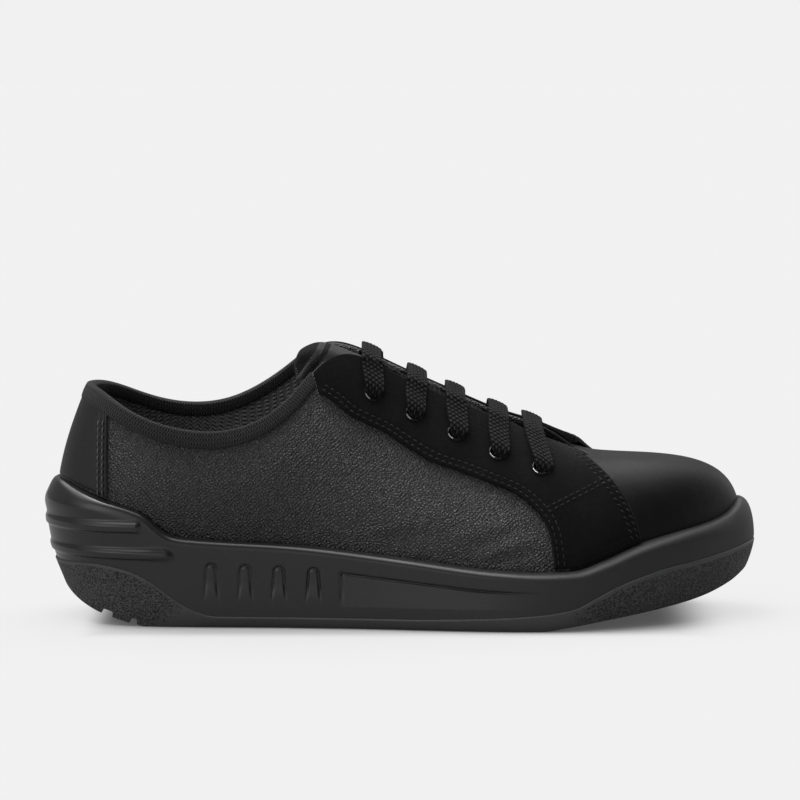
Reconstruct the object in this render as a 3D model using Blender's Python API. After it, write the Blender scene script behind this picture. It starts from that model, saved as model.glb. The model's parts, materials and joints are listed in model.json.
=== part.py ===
"""Low lace-up safety shoe for the right foot: toe towards +X, outer side towards -Y, sole on z = 0.

The sole's outline and the upper's top line are two closed curves through the same ring of stations. Each
meridian of the upper is one Bezier curve from the feather line up to the top line, and every other piece
is cut from that surface or from the wall of the sole. Sizes here are millimetres, meshes are in metres.
"""

import math
from collections import namedtuple

import bmesh
import bpy
import numpy as np
from mathutils import Matrix, Vector

MM = 0.001

# Driving dimensions
LENGTH = 280.0
BALL_WIDTH = 100.0
INSTEP_HEIGHT = 106.0
WALL = 2.0
GAP = 0.3
FEATHER_INSET = 7.2
COLUMNS = 68

# One row for each section, from heel to toe. Lengths are shares of LENGTH, half widths are shares of half
# of BALL_WIDTH, heights are shares of INSTEP_HEIGHT. Lift is how much higher the inner side ends. Flare
# and rise are the meridian's handle at the feather line, spread and drop its handle at the top line.
Station = namedtuple(
    "Station",
    "name along outer inner top_along top_outer top_inner top_height lift flare rise spread drop",
)
STATIONS = (
    Station("heel_back", 0.004, 0.00, 0.00, 0.064, 0.00, 0.00, 0.857, 0.0, 6.0, 20, 10.0, 24.0),
    Station("heel_corner", 0.025, 0.37, 0.37, 0.082, 0.33, 0.33, 0.842, 0.5, 5.6, 20, 8.0, 23.0),
    Station("heel_side", 0.079, 0.63, 0.63, 0.121, 0.56, 0.56, 0.784, 2.0, 5.2, 20, 4.0, 22.0),
    Station("heel_front", 0.161, 0.735, 0.73, 0.179, 0.65, 0.64, 0.724, 3.5, 5.0, 20, 3.0, 20.0),
    Station("shank_back", 0.257, 0.76, 0.74, 0.257, 0.665, 0.65, 0.707, 6.6, 5.0, 20, 4.0, 18.0),
    Station("ankle_front", 0.339, 0.78, 0.72, 0.332, 0.61, 0.59, 0.787, 9.7, 5.0, 22, 7.0, 18.0),
    Station("eyestay_top", 0.400, 0.81, 0.71, 0.382, 0.43, 0.42, 0.922, 6.2, 4.5, 25, 11.0, 15.0),
    Station("eyestay_peak", 0.457, 0.845, 0.73, 0.432, 0.29, 0.29, 0.977, 1.0, 4.5, 28, 11.5, 16.0),
    Station("instep", 0.521, 0.90, 0.78, 0.500, 0.26, 0.26, 0.897, 1.2, 4.0, 30, 12.0, 16.0),
    Station("waist_front", 0.593, 0.96, 0.87, 0.571, 0.25, 0.25, 0.811, 1.4, 4.0, 29, 13.5, 14.0),
    Station("ball_outer", 0.671, 0.995, 0.96, 0.643, 0.24, 0.24, 0.728, 1.6, 4.0, 28, 15.5, 11.5),
    Station("ball_inner", 0.757, 0.95, 1.00, 0.704, 0.22, 0.22, 0.660, 3.0, 4.5, 29, 18.0, 7.5),
    Station("forefoot", 0.843, 0.80, 0.94, 0.743, 0.165, 0.165, 0.616, 1.0, 5.5, 33, 23.5, 3.0),
    Station("toe_side", 0.918, 0.55, 0.78, 0.759, 0.105, 0.105, 0.600, 0.4, 7.0, 38, 30.0, 1.0),
    Station("toe_corner", 0.977, 0.20, 0.53, 0.766, 0.05, 0.05, 0.596, 0.0, 8.2, 42.0, 35.0, 0.2),
    Station("toe_tip", 1.003, -0.16, 0.16, 0.768, 0.00, 0.00, 0.595, 0.0, 8.5, 42.5, 36.5, 0.0),
)
RING = [(row, -1) for row in STATIONS] + [(row, 1) for row in STATIONS[-2:0:-1]]
TURN = len(RING)
TOE = len(STATIONS) - 1


class RingCurve:
    """Smooth closed curve through one value for each station of the ring."""

    def __init__(self, value):
        values = np.array([value(row, side) for row, side in RING], float)
        identity = np.eye(TURN)
        blend = (4 * identity + np.roll(identity, 1, 0) + np.roll(identity, -1, 0)) / 6
        self.control = np.linalg.solve(blend, values)

    def __call__(self, k):
        k = np.asarray(k, float)
        base = np.floor(k).astype(int)
        t = k - base
        weights = ((1 - t) ** 3, 3 * t**3 - 6 * t**2 + 4, -3 * t**3 + 3 * t**2 + 3 * t + 1, t**3)
        return sum(w * self.control[(base + j - 1) % TURN] for j, w in enumerate(weights)) / 6


class SideLine:
    """Smooth line through a few (x, value) points, with no overshoot between them."""

    def __init__(self, *points):
        self.x, self.v = np.array(points, float).T
        step = np.diff(self.v) / np.diff(self.x)
        before, after = step[:-1], step[1:]
        same_way = before * after > 0
        safe = np.where(same_way, before + after, 1.0)
        inner = np.where(same_way, 2 * before * after / safe, 0.0)
        self.slope = np.concatenate([step[:1], inner, step[-1:]])

    def __call__(self, x):
        x = np.clip(x, self.x[0], self.x[-1])
        i = np.clip(np.searchsorted(self.x, x) - 1, 0, len(self.x) - 2)
        h = self.x[i + 1] - self.x[i]
        t = (x - self.x[i]) / h
        start, end = self.v[i], self.v[i + 1]
        rise = (3 - 2 * t) * t * t
        ease_in, ease_out = t * (1 - t) ** 2, t * t * (t - 1)
        return start + (end - start) * rise + h * (self.slope[i] * ease_in + self.slope[i + 1] * ease_out)


# Side lines of the sole, as height over x
TREAD = SideLine(
    (-136, 21.0), (-131, 13.4), (-125, 8.7), (-118, 5.2), (-110, 2.6), (-102, 0.6), (-98, 0.0),
    (55, 0.0), (64, 1.2), (76, 3.0), (90, 5.0), (106, 7.4), (118, 9.8), (130, 13.9), (138, 18.5),
)
JOINT = SideLine(
    (-137, 23.2), (-120, 24.0), (-112, 23.2), (-104, 20.3), (-97, 14.8), (-90, 9.8), (-82, 6.0),
    (-70, 4.3), (0, 4.0), (30, 4.8), (55, 6.2), (70, 8.4), (79, 12.7), (86, 16.7), (95, 20.8),
    (105, 23.6), (118, 25.4), (130, 26.6), (140, 27.8),
)
FLOOR = SideLine(
    (-133, 27.0), (-90, 26.5), (-60, 24.0), (-20, 19.0), (20, 14.6), (50, 12.6), (72, 12.8), (95, 15.0),
    (115, 18.8), (133, 22.8),
)
RIM = SideLine(
    (-136, 54.5), (-116, 48.3), (-101, 44.0), (-88, 35.4), (-82, 34.5), (-36, 31.7), (0, 27.7),
    (37, 23.3), (55, 22.4), (68, 22.8), (79, 26.0), (95, 32.0), (112, 36.0), (124, 38.2), (132, 40.3),
    (137, 43.0), (140, 45.2),
)
CROWN = SideLine((-140, 12), (-125, 8), (-110, 5), (-88, 3), (70, 3), (95, 5), (120, 9), (140, 15))
JOINT_TUCK = SideLine((-140, 3.7), (-120, 2.0), (-95, 0.3), (-80, 0.0), (80, 0.0), (110, 0.3), (140, 0.4))
TREAD_TUCK = SideLine(
    (-140, 6.5), (-125, 4.5), (-105, 2.2), (-80, 1.2), (60, 1.2), (85, 3.0), (110, 4.5), (140, 3.0),
)

OUTSOLE_CORE = 3.5
WRAP_WALL = 2.5
OUTSOLE_PROUD = 0.5
LIP = 1.3
LEAST_CROWN_INSET = 0.6
INSOLE_THICK = 3.0
INSOLE_CLEAR = 0.5

# Grooves across the tread: place along the shoe, width, and the share of the sole's width that is cut
Groove = namedtuple("Groove", "x width reach")
GROOVES = (
    Groove(-113, 3.4, 1.3), Groove(-103, 3.4, 1.3), Groove(-89, 3.0, 0.84), Groove(-76, 3.0, 0.84),
    Groove(-62, 3.0, 0.84), Groove(10, 3.0, 0.84), Groove(24, 3.0, 0.84), Groove(38, 3.0, 0.84),
    Groove(52, 3.0, 0.84), Groove(66, 3.0, 0.84), Groove(80, 3.0, 0.84), Groove(94, 3.0, 0.84),
    Groove(108, 3.0, 0.80),
)
GROOVE_DEPTH = 2.2
GROOVE_BELOW = 3.0

# Bars round the heel: lower and upper edge, how far forward they reach, and how far they stand out
HeelBar = namedtuple("HeelBar", "low high front proud")
HEEL_BARS = (HeelBar(36.4, 41.6, -103.0, 1.3), HeelBar(26.3, 32.5, -90.0, 1.3))
BAR_ROOT = 1.2
BAR_EDGE = 1.1

# Arched slots in the side: lower rear corner, top height and foot height
Slot = namedtuple("Slot", "rear top foot")
SLOTS = (
    Slot(-77.3, 25.3, 11.0), Slot(-63.7, 24.8, 11.0), Slot(-50.3, 24.2, 11.0), Slot(-36.6, 23.7, 11.5),
)
SLOT_TOP_WIDTH = 4.0
SLOT_FOOT_WIDTH = 5.8
SLOT_ARCH = 1.6
SLOT_DEPTH = 1.3
PANEL_TOP = SideLine((-23, 21.9), (37, 14.8), (56, 12.0))
PANEL_FOOT = 8.5
PANEL_DEPTH = 1.0
CUTTER_CLEAR = 0.4
CUTTER_REACH = 4.0

# Overlays on the upper
COUNTER_GAP = 0.4
EYESTAY_GAP = 0.75
EYESTAY_THICK = 1.2
COUNTER_THICK = 1.0
EYESTAY_LOWER = SideLine(
    (-36, 92.0), (-32, 90.0), (-26, 86.4), (-19, 80.8), (-5, 73.8), (3, 68.6), (13, 63.0), (25, 59.0),
    (35, 55.2), (45, 51.0), (53, 44.7), (57, 38.5), (59, 29.4), (60, 12.0),
)
EYESTAY_REAR = -33.5
EYESTAY_FRONT_RING = 12.05
EYESTAY_COLUMNS = 14
WING_COLUMNS = 9
EYESTAY_ROWS = 8
COUNTER_FRONT = -115.7
BINDING_WIDTH = 5.8
TAPE_END = 0.04
TAPE_GAP = 0.8
TAPE_RISE = 0.6
BINDING_THICK = 0.9
BINDING_CROWN = 1.5

# Eyelets and lace
Eyelet = namedtuple("Eyelet", "x setback")
EYELETS = (
    Eyelet(-10.6, 14.5), Eyelet(5.4, 14.8), Eyelet(21.6, 16.6), Eyelet(37.7, 18.8), Eyelet(54.5, 20.5),
)
EYELET_BORE = 2.4
EYELET_BARREL = 2.9
EYELET_FLANGE = 4.3
EYELET_SEAT = 0.45
EYELET_PROUD = 1.3
HOLE_RADIUS = 3.25
EYELET_SIDES = 10
LACE_WIDTH = 8.5
LACE_THICK = 1.3
LACE_ARCH = 0.38
LACE_OVER_EYELET = 1.1
LACE_OVER_TONGUE = 0.6
# Points of a bar from its eyelet to the throat: share of the setback, and of the lift over the eyelet
BAR_DROPS = (0.9, 0.45, 0.2, 0.0)
BAR_LIFTS = (1.0, 0.8, 0.24, 0.14)
DIAGONAL_SPAN = (0.77, 0.23)
DIAGONAL_POINTS = 7

# Tongue
TONGUE_GAP = 2.0
TONGUE_THICK = 4.2
TONGUE_EDGE = 2.2
TONGUE_ARCH = 0.4
TongueRow = namedtuple("TongueRow", "ring wing")
TONGUE_ROWS = (
    TongueRow(12.6, 7.0), TongueRow(11.5, 11.0), TongueRow(10.5, 14.0), TongueRow(9.5, 15.0),
    TongueRow(8.5, 15.0), TongueRow(7.7, 15.0), TongueRow(7.0, 15.0),
)
TONGUE_ROOT_REACH = 9.0
TONGUE_ROOT_SPAN = 1.4
TONGUE_ROOT_GAP = 0.5
TONGUE_POINTS = 9
TongueEnd = namedtuple("TongueEnd", "back up width")
TONGUE_TOP = (TongueEnd(10.0, 3.2, 0.93), TongueEnd(17.5, 1.0, 0.76), TongueEnd(21.5, -3.8, 0.52))

SHARP = math.radians(40)
NUDGE = 1e-3
FINE = np.linspace(0.0, 1.0, 201)
HALF_WIDTH = BALL_WIDTH / 2

OUTLINE = (
    RingCurve(lambda row, side: (row.along - 0.5) * LENGTH),
    RingCurve(lambda row, side: HALF_WIDTH * (-row.outer if side < 0 else row.inner)),
)
TOP_LINE = (
    RingCurve(lambda row, side: (row.top_along - 0.5) * LENGTH),
    RingCurve(lambda row, side: HALF_WIDTH * (-row.top_outer if side < 0 else row.top_inner)),
)
TOP_HEIGHT = RingCurve(lambda row, side: row.top_height * INSTEP_HEIGHT + (row.lift if side > 0 else 0.0))
FLARE = RingCurve(lambda row, side: row.flare)
RISE = RingCurve(lambda row, side: row.rise)
SPREAD = RingCurve(lambda row, side: row.spread)
DROP = RingCurve(lambda row, side: row.drop)


# Surface of the upper

def plan(curves, k):
    """Point of a closed plan curve and its outward normal, each as (x, y)."""
    here = [curve(k) for curve in curves]
    along = [curve(k + NUDGE) - curve(k - NUDGE) for curve in curves]
    size = np.hypot(*along)
    return here, (along[1] / size, -along[0] / size)


def meridian(k, u):
    """Point of the upper's outer face at ring share k and height share u."""
    k, u = np.broadcast_arrays(np.asarray(k, float), np.asarray(u, float))
    (out_x, out_y), (nx, ny) = plan(OUTLINE, k)
    (top_x, top_y), (mx, my) = plan(TOP_LINE, k)
    foot_x, foot_y = out_x - FEATHER_INSET * nx, out_y - FEATHER_INSET * ny
    foot = np.stack([foot_x, foot_y, FLOOR(foot_x) + GAP], -1)
    low = foot + np.stack([FLARE(k) * nx, FLARE(k) * ny, RISE(k)], -1)
    top = np.stack([top_x, top_y, TOP_HEIGHT(k)], -1)
    high = top + np.stack([SPREAD(k) * mx, SPREAD(k) * my, -DROP(k)], -1)
    u = u[..., None]
    v = 1 - u
    return v**3 * foot + 3 * v * v * u * low + 3 * v * u * u * high + u**3 * top


def unit(vectors):
    return vectors / np.linalg.norm(vectors, axis=-1, keepdims=True)


def skin_normal(k, u):
    across = meridian(np.asarray(k) + NUDGE, u) - meridian(np.asarray(k) - NUDGE, u)
    upward = meridian(k, np.asarray(u) + NUDGE) - meridian(k, np.asarray(u) - NUDGE)
    return unit(np.cross(across, upward))


def skin(k, u, offset=0.0):
    """Point at a distance from the upper's outer face, positive outwards."""
    return meridian(k, u) + np.asarray(offset)[..., None] * skin_normal(k, u)


def first_rise(excess, places):
    """Place where each column of excess first becomes positive."""
    above = excess > 0
    after = np.clip(np.argmax(above, axis=0), 1, len(excess) - 1)
    column = np.arange(excess.shape[1])
    low, high = excess[after - 1, column], excess[after, column]
    share = np.clip(-low / np.where(high == low, 1.0, high - low), 0, 1)
    found = places[after - 1] + share * (places[after] - places[after - 1])
    return np.where(above.any(axis=0), found, places[-1])


def rim_share(k):
    """Height share where each meridian passes the sole's rim."""
    points = meridian(k[None, :], FINE[:, None])
    return first_rise(points[..., 2] - RIM(OUTLINE[0](k)), FINE)


def line_share(k, line):
    """Height share where each meridian passes a side line of (x, z)."""
    points = meridian(k[None, :], FINE[:, None])
    return first_rise(points[..., 2] - line(points[..., 0]), FINE)


def share_below(k, distance):
    """Height share at a distance down each meridian from the top line."""
    k = np.atleast_1d(np.asarray(k, float))
    points = meridian(k[None, :], FINE[::-1, None])
    steps = np.linalg.norm(np.diff(points, axis=0), axis=-1)
    run = np.concatenate([np.zeros((1, len(k))), np.cumsum(steps, axis=0)])
    return np.array([np.interp(distance, run[:, c], FINE[::-1]) for c in range(len(k))])


def ring_shares():
    return np.arange(COLUMNS) * TURN / COLUMNS


def low_shares(k):
    """Height shares of the rows that stand in the sole's cup."""
    return rim_share(k) * np.array([0.0, 0.35, 0.7, 1.0])[:, None]


def high_shares(k, rows):
    """Height shares of the rows from the rim to the top line."""
    rim = rim_share(k)
    return rim + (1 - rim) * np.linspace(0, 1, rows + 1)[1:, None]


# Wall of the sole

def wall_inset(k, z):
    """Distance of the midsole's side from the outline at a height."""
    x = OUTLINE[0](k)
    (out_x, out_y), (nx, ny) = plan(OUTLINE, k)
    rim_point = meridian(k, rim_share(np.atleast_1d(k)).reshape(np.shape(k)))
    lip = (out_x - rim_point[..., 0]) * nx + (out_y - rim_point[..., 1]) * ny
    crown_inset = np.maximum(lip - GAP - LIP, LEAST_CROWN_INSET)
    shoulder = RIM(x) - CROWN(x)
    share = np.clip((z - JOINT(x)) / (shoulder - JOINT(x)), 0, 1)
    rise = np.clip((z - shoulder) / CROWN(x), 0, 1)
    return JOINT_TUCK(x) * (1 - share) ** 2 + crown_inset * (1 - np.sqrt(1 - rise**2))


def wall(k, z, proud=0.0):
    """Point on the midsole's side at a height, moved outwards by proud."""
    k, z = np.broadcast_arrays(np.asarray(k, float), np.asarray(z, float))
    (out_x, out_y), (nx, ny) = plan(OUTLINE, k)
    inset = wall_inset(k, z) - proud
    return np.stack([out_x - inset * nx, out_y - inset * ny, z], -1)


def side_share(x, side):
    """Ring share where the outline passes x, on the outer side (-1) or the inner side (+1)."""
    k = np.linspace(0, TOE, 400)
    k = k if side < 0 else TURN - k
    return np.interp(x, OUTLINE[0](k), k)


# Solids

class Shell:
    """Points and faces of one closed solid, collected row by row."""

    def __init__(self):
        self.points = []
        self.faces = []

    def row(self, points):
        first = len(self.points)
        self.points.extend(np.asarray(points, float).tolist())
        return np.arange(first, len(self.points))

    def band(self, one, other, closed=True):
        count = len(one)
        for i in range(count if closed else count - 1):
            j = (i + 1) % count
            self.faces.append((one[i], one[j], other[j], other[i]))

    def ladder(self, ring, rung_ring, height, shares):
        """Closes a ring with rungs from its outer to its inner side; rung_ring gives their ends."""
        half = len(ring) // 2
        rungs = []
        for i in range(1, half):
            start, end = rung_ring[i], rung_ring[-i]
            inside = [start + (end - start) * s for s in shares]
            inside = [(x, y, float(height(x))) for x, y, _ in inside]
            rungs.append([ring[i], *self.row(inside), ring[-i]])
        for one, other in zip(rungs, rungs[1:]):
            self.band(one, other, closed=False)
        for tip, rung in ((ring[0], rungs[0]), (ring[half], rungs[-1])):
            self.faces += [(tip, a, b) for a, b in zip(rung, rung[1:])]

    def slab(self, one, other):
        """Closed plate between two grids of points."""
        grids = [[self.row(line) for line in grid] for grid in (one, other)]
        for grid in grids:
            for lower, upper in zip(grid, grid[1:]):
                self.band(lower, upper, closed=False)
        rims = []
        for grid in grids:
            left, right = [line[0] for line in grid], [line[-1] for line in grid]
            rims.append([*grid[0], *right[1:-1], *grid[-1][::-1], *left[-2:0:-1]])
        self.band(*rims)

    def sweep(self, sections):
        """Closed bar through a list of sections with the same number of points."""
        rows = [self.row(section) for section in sections]
        for one, other in zip(rows, rows[1:]):
            self.band(one, other)
        self.faces += [tuple(rows[0]), tuple(rows[-1])]

    def mesh(self, name):
        mesh = bpy.data.meshes.new(name)
        mesh.from_pydata((np.array(self.points) * MM).tolist(), [], [tuple(map(int, f)) for f in self.faces])
        shape = bmesh.new()
        shape.from_mesh(mesh)
        bmesh.ops.recalc_face_normals(shape, faces=shape.faces)
        if shape.calc_volume(signed=True) < 0:
            bmesh.ops.reverse_faces(shape, faces=shape.faces)
        shape.to_mesh(mesh)
        shape.free()
        mesh.shade_smooth()
        mesh.set_sharp_from_angle(angle=SHARP)
        return mesh


def finish(name, colour, roughness, metallic=0.0):
    material = bpy.data.materials.new(name)
    material.use_nodes = True
    shader = material.node_tree.nodes["Principled BSDF"]
    shader.inputs["Base Color"].default_value = (*colour, 1.0)
    shader.inputs["Roughness"].default_value = roughness
    shader.inputs["Metallic"].default_value = metallic
    return material


def add(name, mesh, parent, material=None):
    thing = bpy.data.objects.new(name, mesh)
    bpy.context.scene.collection.objects.link(thing)
    thing.parent = parent
    if material:
        mesh.materials.append(material)
    return thing


def add_helper(name, mesh, parent):
    helper = add(name, mesh, parent)
    helper.hide_render = True
    helper.display_type = "WIRE"
    return helper


def combine(target, operation, helper):
    change = target.modifiers.new(helper.name, "BOOLEAN")
    change.operation = operation
    change.solver = "EXACT"
    change.object = helper


# Sole

def joint_ring(k, proud, z_shift):
    (out_x, out_y), (nx, ny) = plan(OUTLINE, k)
    inset = JOINT_TUCK(out_x) - proud
    return np.stack([out_x - inset * nx, out_y - inset * ny, JOINT(out_x) + z_shift], -1)


def core_height(x, z_shift):
    """Top of the outsole inside its wrapped edge."""
    return np.minimum(JOINT(x), TREAD(x) + OUTSOLE_CORE) + z_shift


def core_ring(k, z_shift):
    """Foot of the wrapped edge on its inner side."""
    (out_x, out_y), (nx, ny) = plan(OUTLINE, k)
    inset = TREAD_TUCK(out_x) + WRAP_WALL
    x, y = out_x - inset * nx, out_y - inset * ny
    return np.stack([x, y, core_height(x, z_shift)], -1)


def make_outsole(parent):
    k = ring_shares()
    (out_x, out_y), (nx, ny) = plan(OUTLINE, k)
    inset = TREAD_TUCK(out_x)
    foot_x, foot_y = out_x - inset * nx, out_y - inset * ny
    foot_points = np.stack([foot_x, foot_y, TREAD(foot_x)], -1)
    shell = Shell()
    foot = shell.row(foot_points)
    edge = shell.row(joint_ring(k, OUTSOLE_PROUD, -GAP / 2))
    core_points = core_ring(k, -GAP / 2)
    core = shell.row(core_points)
    shell.band(foot, edge)
    shell.band(edge, core)
    shell.ladder(foot, foot_points, TREAD, (0.5,))
    shell.ladder(core, core_points, lambda x: core_height(x, -GAP / 2), (0.5,))
    outsole = add("outsole", shell.mesh("outsole"), parent, finish("rough_rubber", (0.02, 0.02, 0.021), 0.85))
    combine(outsole, "DIFFERENCE", add_helper("tread_grooves", groove_mesh(), parent))


def groove_mesh():
    """Square channels across the tread, each tilted to the slope of the sole under it."""
    shape = bmesh.new()
    for groove in GROOVES:
        outer, inner = (float(OUTLINE[1](side_share(groove.x, side))) for side in (-1, 1))
        slope = (TREAD(groove.x + 1) - TREAD(groove.x - 1)) / 2
        height = GROOVE_DEPTH + GROOVE_BELOW
        tilt = Matrix.Rotation(-math.atan(slope), 4, "Y")
        middle = Matrix.Translation((0, 0, GROOVE_DEPTH - height / 2))
        place = Matrix.Translation((groove.x, (outer + inner) / 2, float(TREAD(groove.x))))
        size = Matrix.Diagonal((groove.width, (inner - outer) * groove.reach, height, 1))
        bmesh.ops.create_cube(shape, size=1, matrix=Matrix.Scale(MM, 4) @ place @ tilt @ middle @ size)
    mesh = bpy.data.meshes.new("tread_grooves")
    shape.to_mesh(mesh)
    shape.free()
    return mesh


def make_midsole(parent):
    k = ring_shares()
    x = OUTLINE[0](k)
    shoulder = RIM(x) - CROWN(x)
    shell = Shell()
    rows = [shell.row(joint_ring(k, 0.0, GAP / 2))]
    for share in (0.5, 1.0):
        rows.append(shell.row(wall(k, JOINT(x) + share * (shoulder - JOINT(x)))))
    for angle in (30, 60, 90):
        rows.append(shell.row(wall(k, shoulder + CROWN(x) * math.sin(math.radians(angle)))))
    for shares in low_shares(k)[::-1]:
        points = skin(k, shares, GAP)
        if shares[0] == 0:
            points[:, 2] = FLOOR(points[:, 0])
        rows.append(shell.row(points))
    for one, other in zip(rows, rows[1:]):
        shell.band(one, other)
    core_points = core_ring(k, GAP / 2)
    core = shell.row(core_points)
    shell.band(rows[0], core)
    shell.ladder(core, core_points, lambda x: core_height(x, GAP / 2), (0.5,))
    floor_points = np.array([shell.points[i] for i in rows[-1]])
    shell.ladder(rows[-1], floor_points, FLOOR, (0.5,))
    midsole = add("midsole", shell.mesh("midsole"), parent, finish("moulded_sole", (0.016, 0.016, 0.017), 0.5))
    combine(midsole, "UNION", add_helper("heel_bars", heel_bar_mesh(), parent))
    combine(midsole, "DIFFERENCE", add_helper("side_slots", slot_mesh(), parent))


def heel_bar_mesh():
    shell = Shell()
    for bar in HEEL_BARS:
        reach = float(side_share(bar.front, -1))
        profile = (
            (bar.low, -BAR_ROOT), (bar.low, 0.3 * bar.proud), (bar.low + BAR_EDGE, bar.proud),
            (bar.high - BAR_EDGE, bar.proud), (bar.high, 0.3 * bar.proud), (bar.high, -BAR_ROOT),
        )
        around = np.linspace(-reach, reach, 21) % TURN
        shell.sweep([np.array([wall(k, z, proud) for z, proud in profile]) for k in around])
    return shell.mesh("heel_bars")


def slot_mesh():
    """Wedges that bite into both sides of the sole at their top and fade out at their foot."""
    shell = Shell()
    for side in (-1, 1):
        for slot in SLOTS:
            widen = (SLOT_FOOT_WIDTH - SLOT_TOP_WIDTH) / 2
            middle = slot.rear + SLOT_FOOT_WIDTH / 2
            spring = slot.top - SLOT_ARCH
            outline = (
                (middle - SLOT_FOOT_WIDTH / 2, slot.foot), (middle + SLOT_FOOT_WIDTH / 2, slot.foot),
                (middle + SLOT_FOOT_WIDTH / 2 - widen, spring), (middle, slot.top),
                (middle - SLOT_FOOT_WIDTH / 2 + widen, spring),
            )
            deep, out = [], []
            for x, z in outline:
                share = (z - slot.foot) / (slot.top - slot.foot)
                k = side_share(x, side)
                deep.append(wall(k, z, CUTTER_CLEAR - share * (CUTTER_CLEAR + SLOT_DEPTH)))
                out.append(wall(k, z, CUTTER_REACH))
            shell.sweep([deep, out])
        sections = []
        for x in np.linspace(PANEL_TOP.x[0], PANEL_TOP.x[-1], 8):
            k = side_share(x, side)
            fade = min(1.0, (PANEL_TOP.x[-1] - x) / (PANEL_TOP.x[-1] - PANEL_TOP.x[1]))
            bite = CUTTER_CLEAR - fade * (CUTTER_CLEAR + PANEL_DEPTH)
            top = float(PANEL_TOP(x))
            sections.append([
                wall(k, PANEL_FOOT, CUTTER_CLEAR), wall(k, PANEL_FOOT, CUTTER_REACH),
                wall(k, top, CUTTER_REACH), wall(k, top, bite),
            ])
        shell.sweep(sections)
    return shell.mesh("side_slots")


def make_insole(parent):
    k = ring_shares()
    (out_x, out_y), (nx, ny) = plan(OUTLINE, k)
    inset = FEATHER_INSET + WALL + INSOLE_CLEAR
    x, y = out_x - inset * nx, out_y - inset * ny
    shell = Shell()
    rings = []
    for lift in (GAP, GAP + INSOLE_THICK):
        points = np.stack([x, y, FLOOR(x) + lift], -1)
        ring = shell.row(points)
        shell.ladder(ring, points, lambda at, lift=lift: FLOOR(at) + lift, (0.5,))
        rings.append(ring)
    shell.band(*rings)
    add("insole", shell.mesh("insole"), parent, finish("footbed_fabric", (0.03, 0.03, 0.032), 0.9))


# Upper and its overlays

def make_upper(parent, drills):
    k = ring_shares()
    outer = np.concatenate([low_shares(k), high_shares(k, 7)])
    inner = np.concatenate([low_shares(k)[::3], high_shares(k, 4)])[::-1]
    shell = Shell()
    rows = [shell.row(skin(k, u)) for u in outer]
    rows += [shell.row(skin(k, u, -WALL)) for u in inner]
    for one, other in zip(rows, rows[1:] + rows[:1]):
        shell.band(one, other)
    upper = add("upper", shell.mesh("upper"), parent, finish("grained_leather", (0.02, 0.02, 0.022), 0.55))
    combine(upper, "DIFFERENCE", drills)


def eyestay_rear():
    """Ring share of the eyestay's rear end, where the collar's tape stops."""
    probe = np.linspace(3, 9, 400)
    return float(np.interp(EYESTAY_REAR, TOP_LINE[0](probe), probe))


def eyestay_floor(k):
    """Lower edge of the eyestay as a height share: its side line, or just over the sole's rim."""
    return np.maximum(line_share(k, EYESTAY_LOWER), rim_share(k) + GAP / RISE(k))


def evenly(k, u, count):
    """Points spaced evenly along a line on the upper, as ring and height shares."""
    steps = np.linalg.norm(np.diff(meridian(k, u), axis=0), axis=-1)
    run = np.concatenate([[0.0], np.cumsum(steps)])
    places = np.linspace(0, run[-1], count)
    return np.interp(places, run, k), np.interp(places, run, u)


def eyestay_grid(side):
    """Ring and height shares of the eyestay: columns along its lower edge, then down and along its wing."""
    edge = np.linspace(eyestay_rear(), EYESTAY_FRONT_RING, 600)
    edge = edge if side < 0 else TURN - edge
    floor = eyestay_floor(edge)
    corner = int(np.argmin(np.diff(floor)))
    columns = []
    for part, count in ((slice(corner + 1), EYESTAY_COLUMNS), (slice(corner, None), WING_COLUMNS)):
        low_k, low_u = evenly(edge[part], floor[part], count)
        top_k, _ = evenly(edge[part], np.ones_like(edge[part]), count)
        columns.append(np.stack([low_k, low_u, top_k]))
    low_k, low_u, top_k = np.concatenate([columns[0], columns[1][:, 1:]], axis=1)
    rows = np.linspace(0, 1, EYESTAY_ROWS)[:, None]
    return low_k + (top_k - low_k) * rows, low_u + (1 - low_u) * rows


def make_eyestay(name, side, parent, drills):
    k, u = eyestay_grid(side)
    shell = Shell()
    shell.slab(skin(k, u, EYESTAY_GAP), skin(k, u, EYESTAY_GAP + EYESTAY_THICK))
    eyestay = add(name, shell.mesh(name), parent, finish(name + "_suede", (0.01, 0.01, 0.01), 0.95))
    combine(eyestay, "DIFFERENCE", drills)


def make_heel_counter(parent):
    rows = np.linspace(0, 1, 6)
    probe = np.linspace(0.0, 5.0, 160)
    low = rim_share(probe) + GAP / RISE(probe)
    high = share_below(probe, BINDING_WIDTH + GAP)
    points = meridian(probe[None, :], low + (high - low) * rows[:, None])
    reach = first_rise((points[..., 0] - COUNTER_FRONT).T, probe)
    k = reach[:, None] * np.linspace(-1, 1, 19)
    low = np.array([rim_share(row) + GAP / RISE(row) for row in k])
    high = np.array([share_below(row, BINDING_WIDTH + GAP) for row in k])
    u = low + (high - low) * rows[:, None]
    shell = Shell()
    shell.slab(skin(k, u, COUNTER_GAP), skin(k, u, COUNTER_GAP + COUNTER_THICK))
    add("heel_counter", shell.mesh("heel_counter"), parent, finish("smooth_leather", (0.02, 0.02, 0.022), 0.5))


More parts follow.
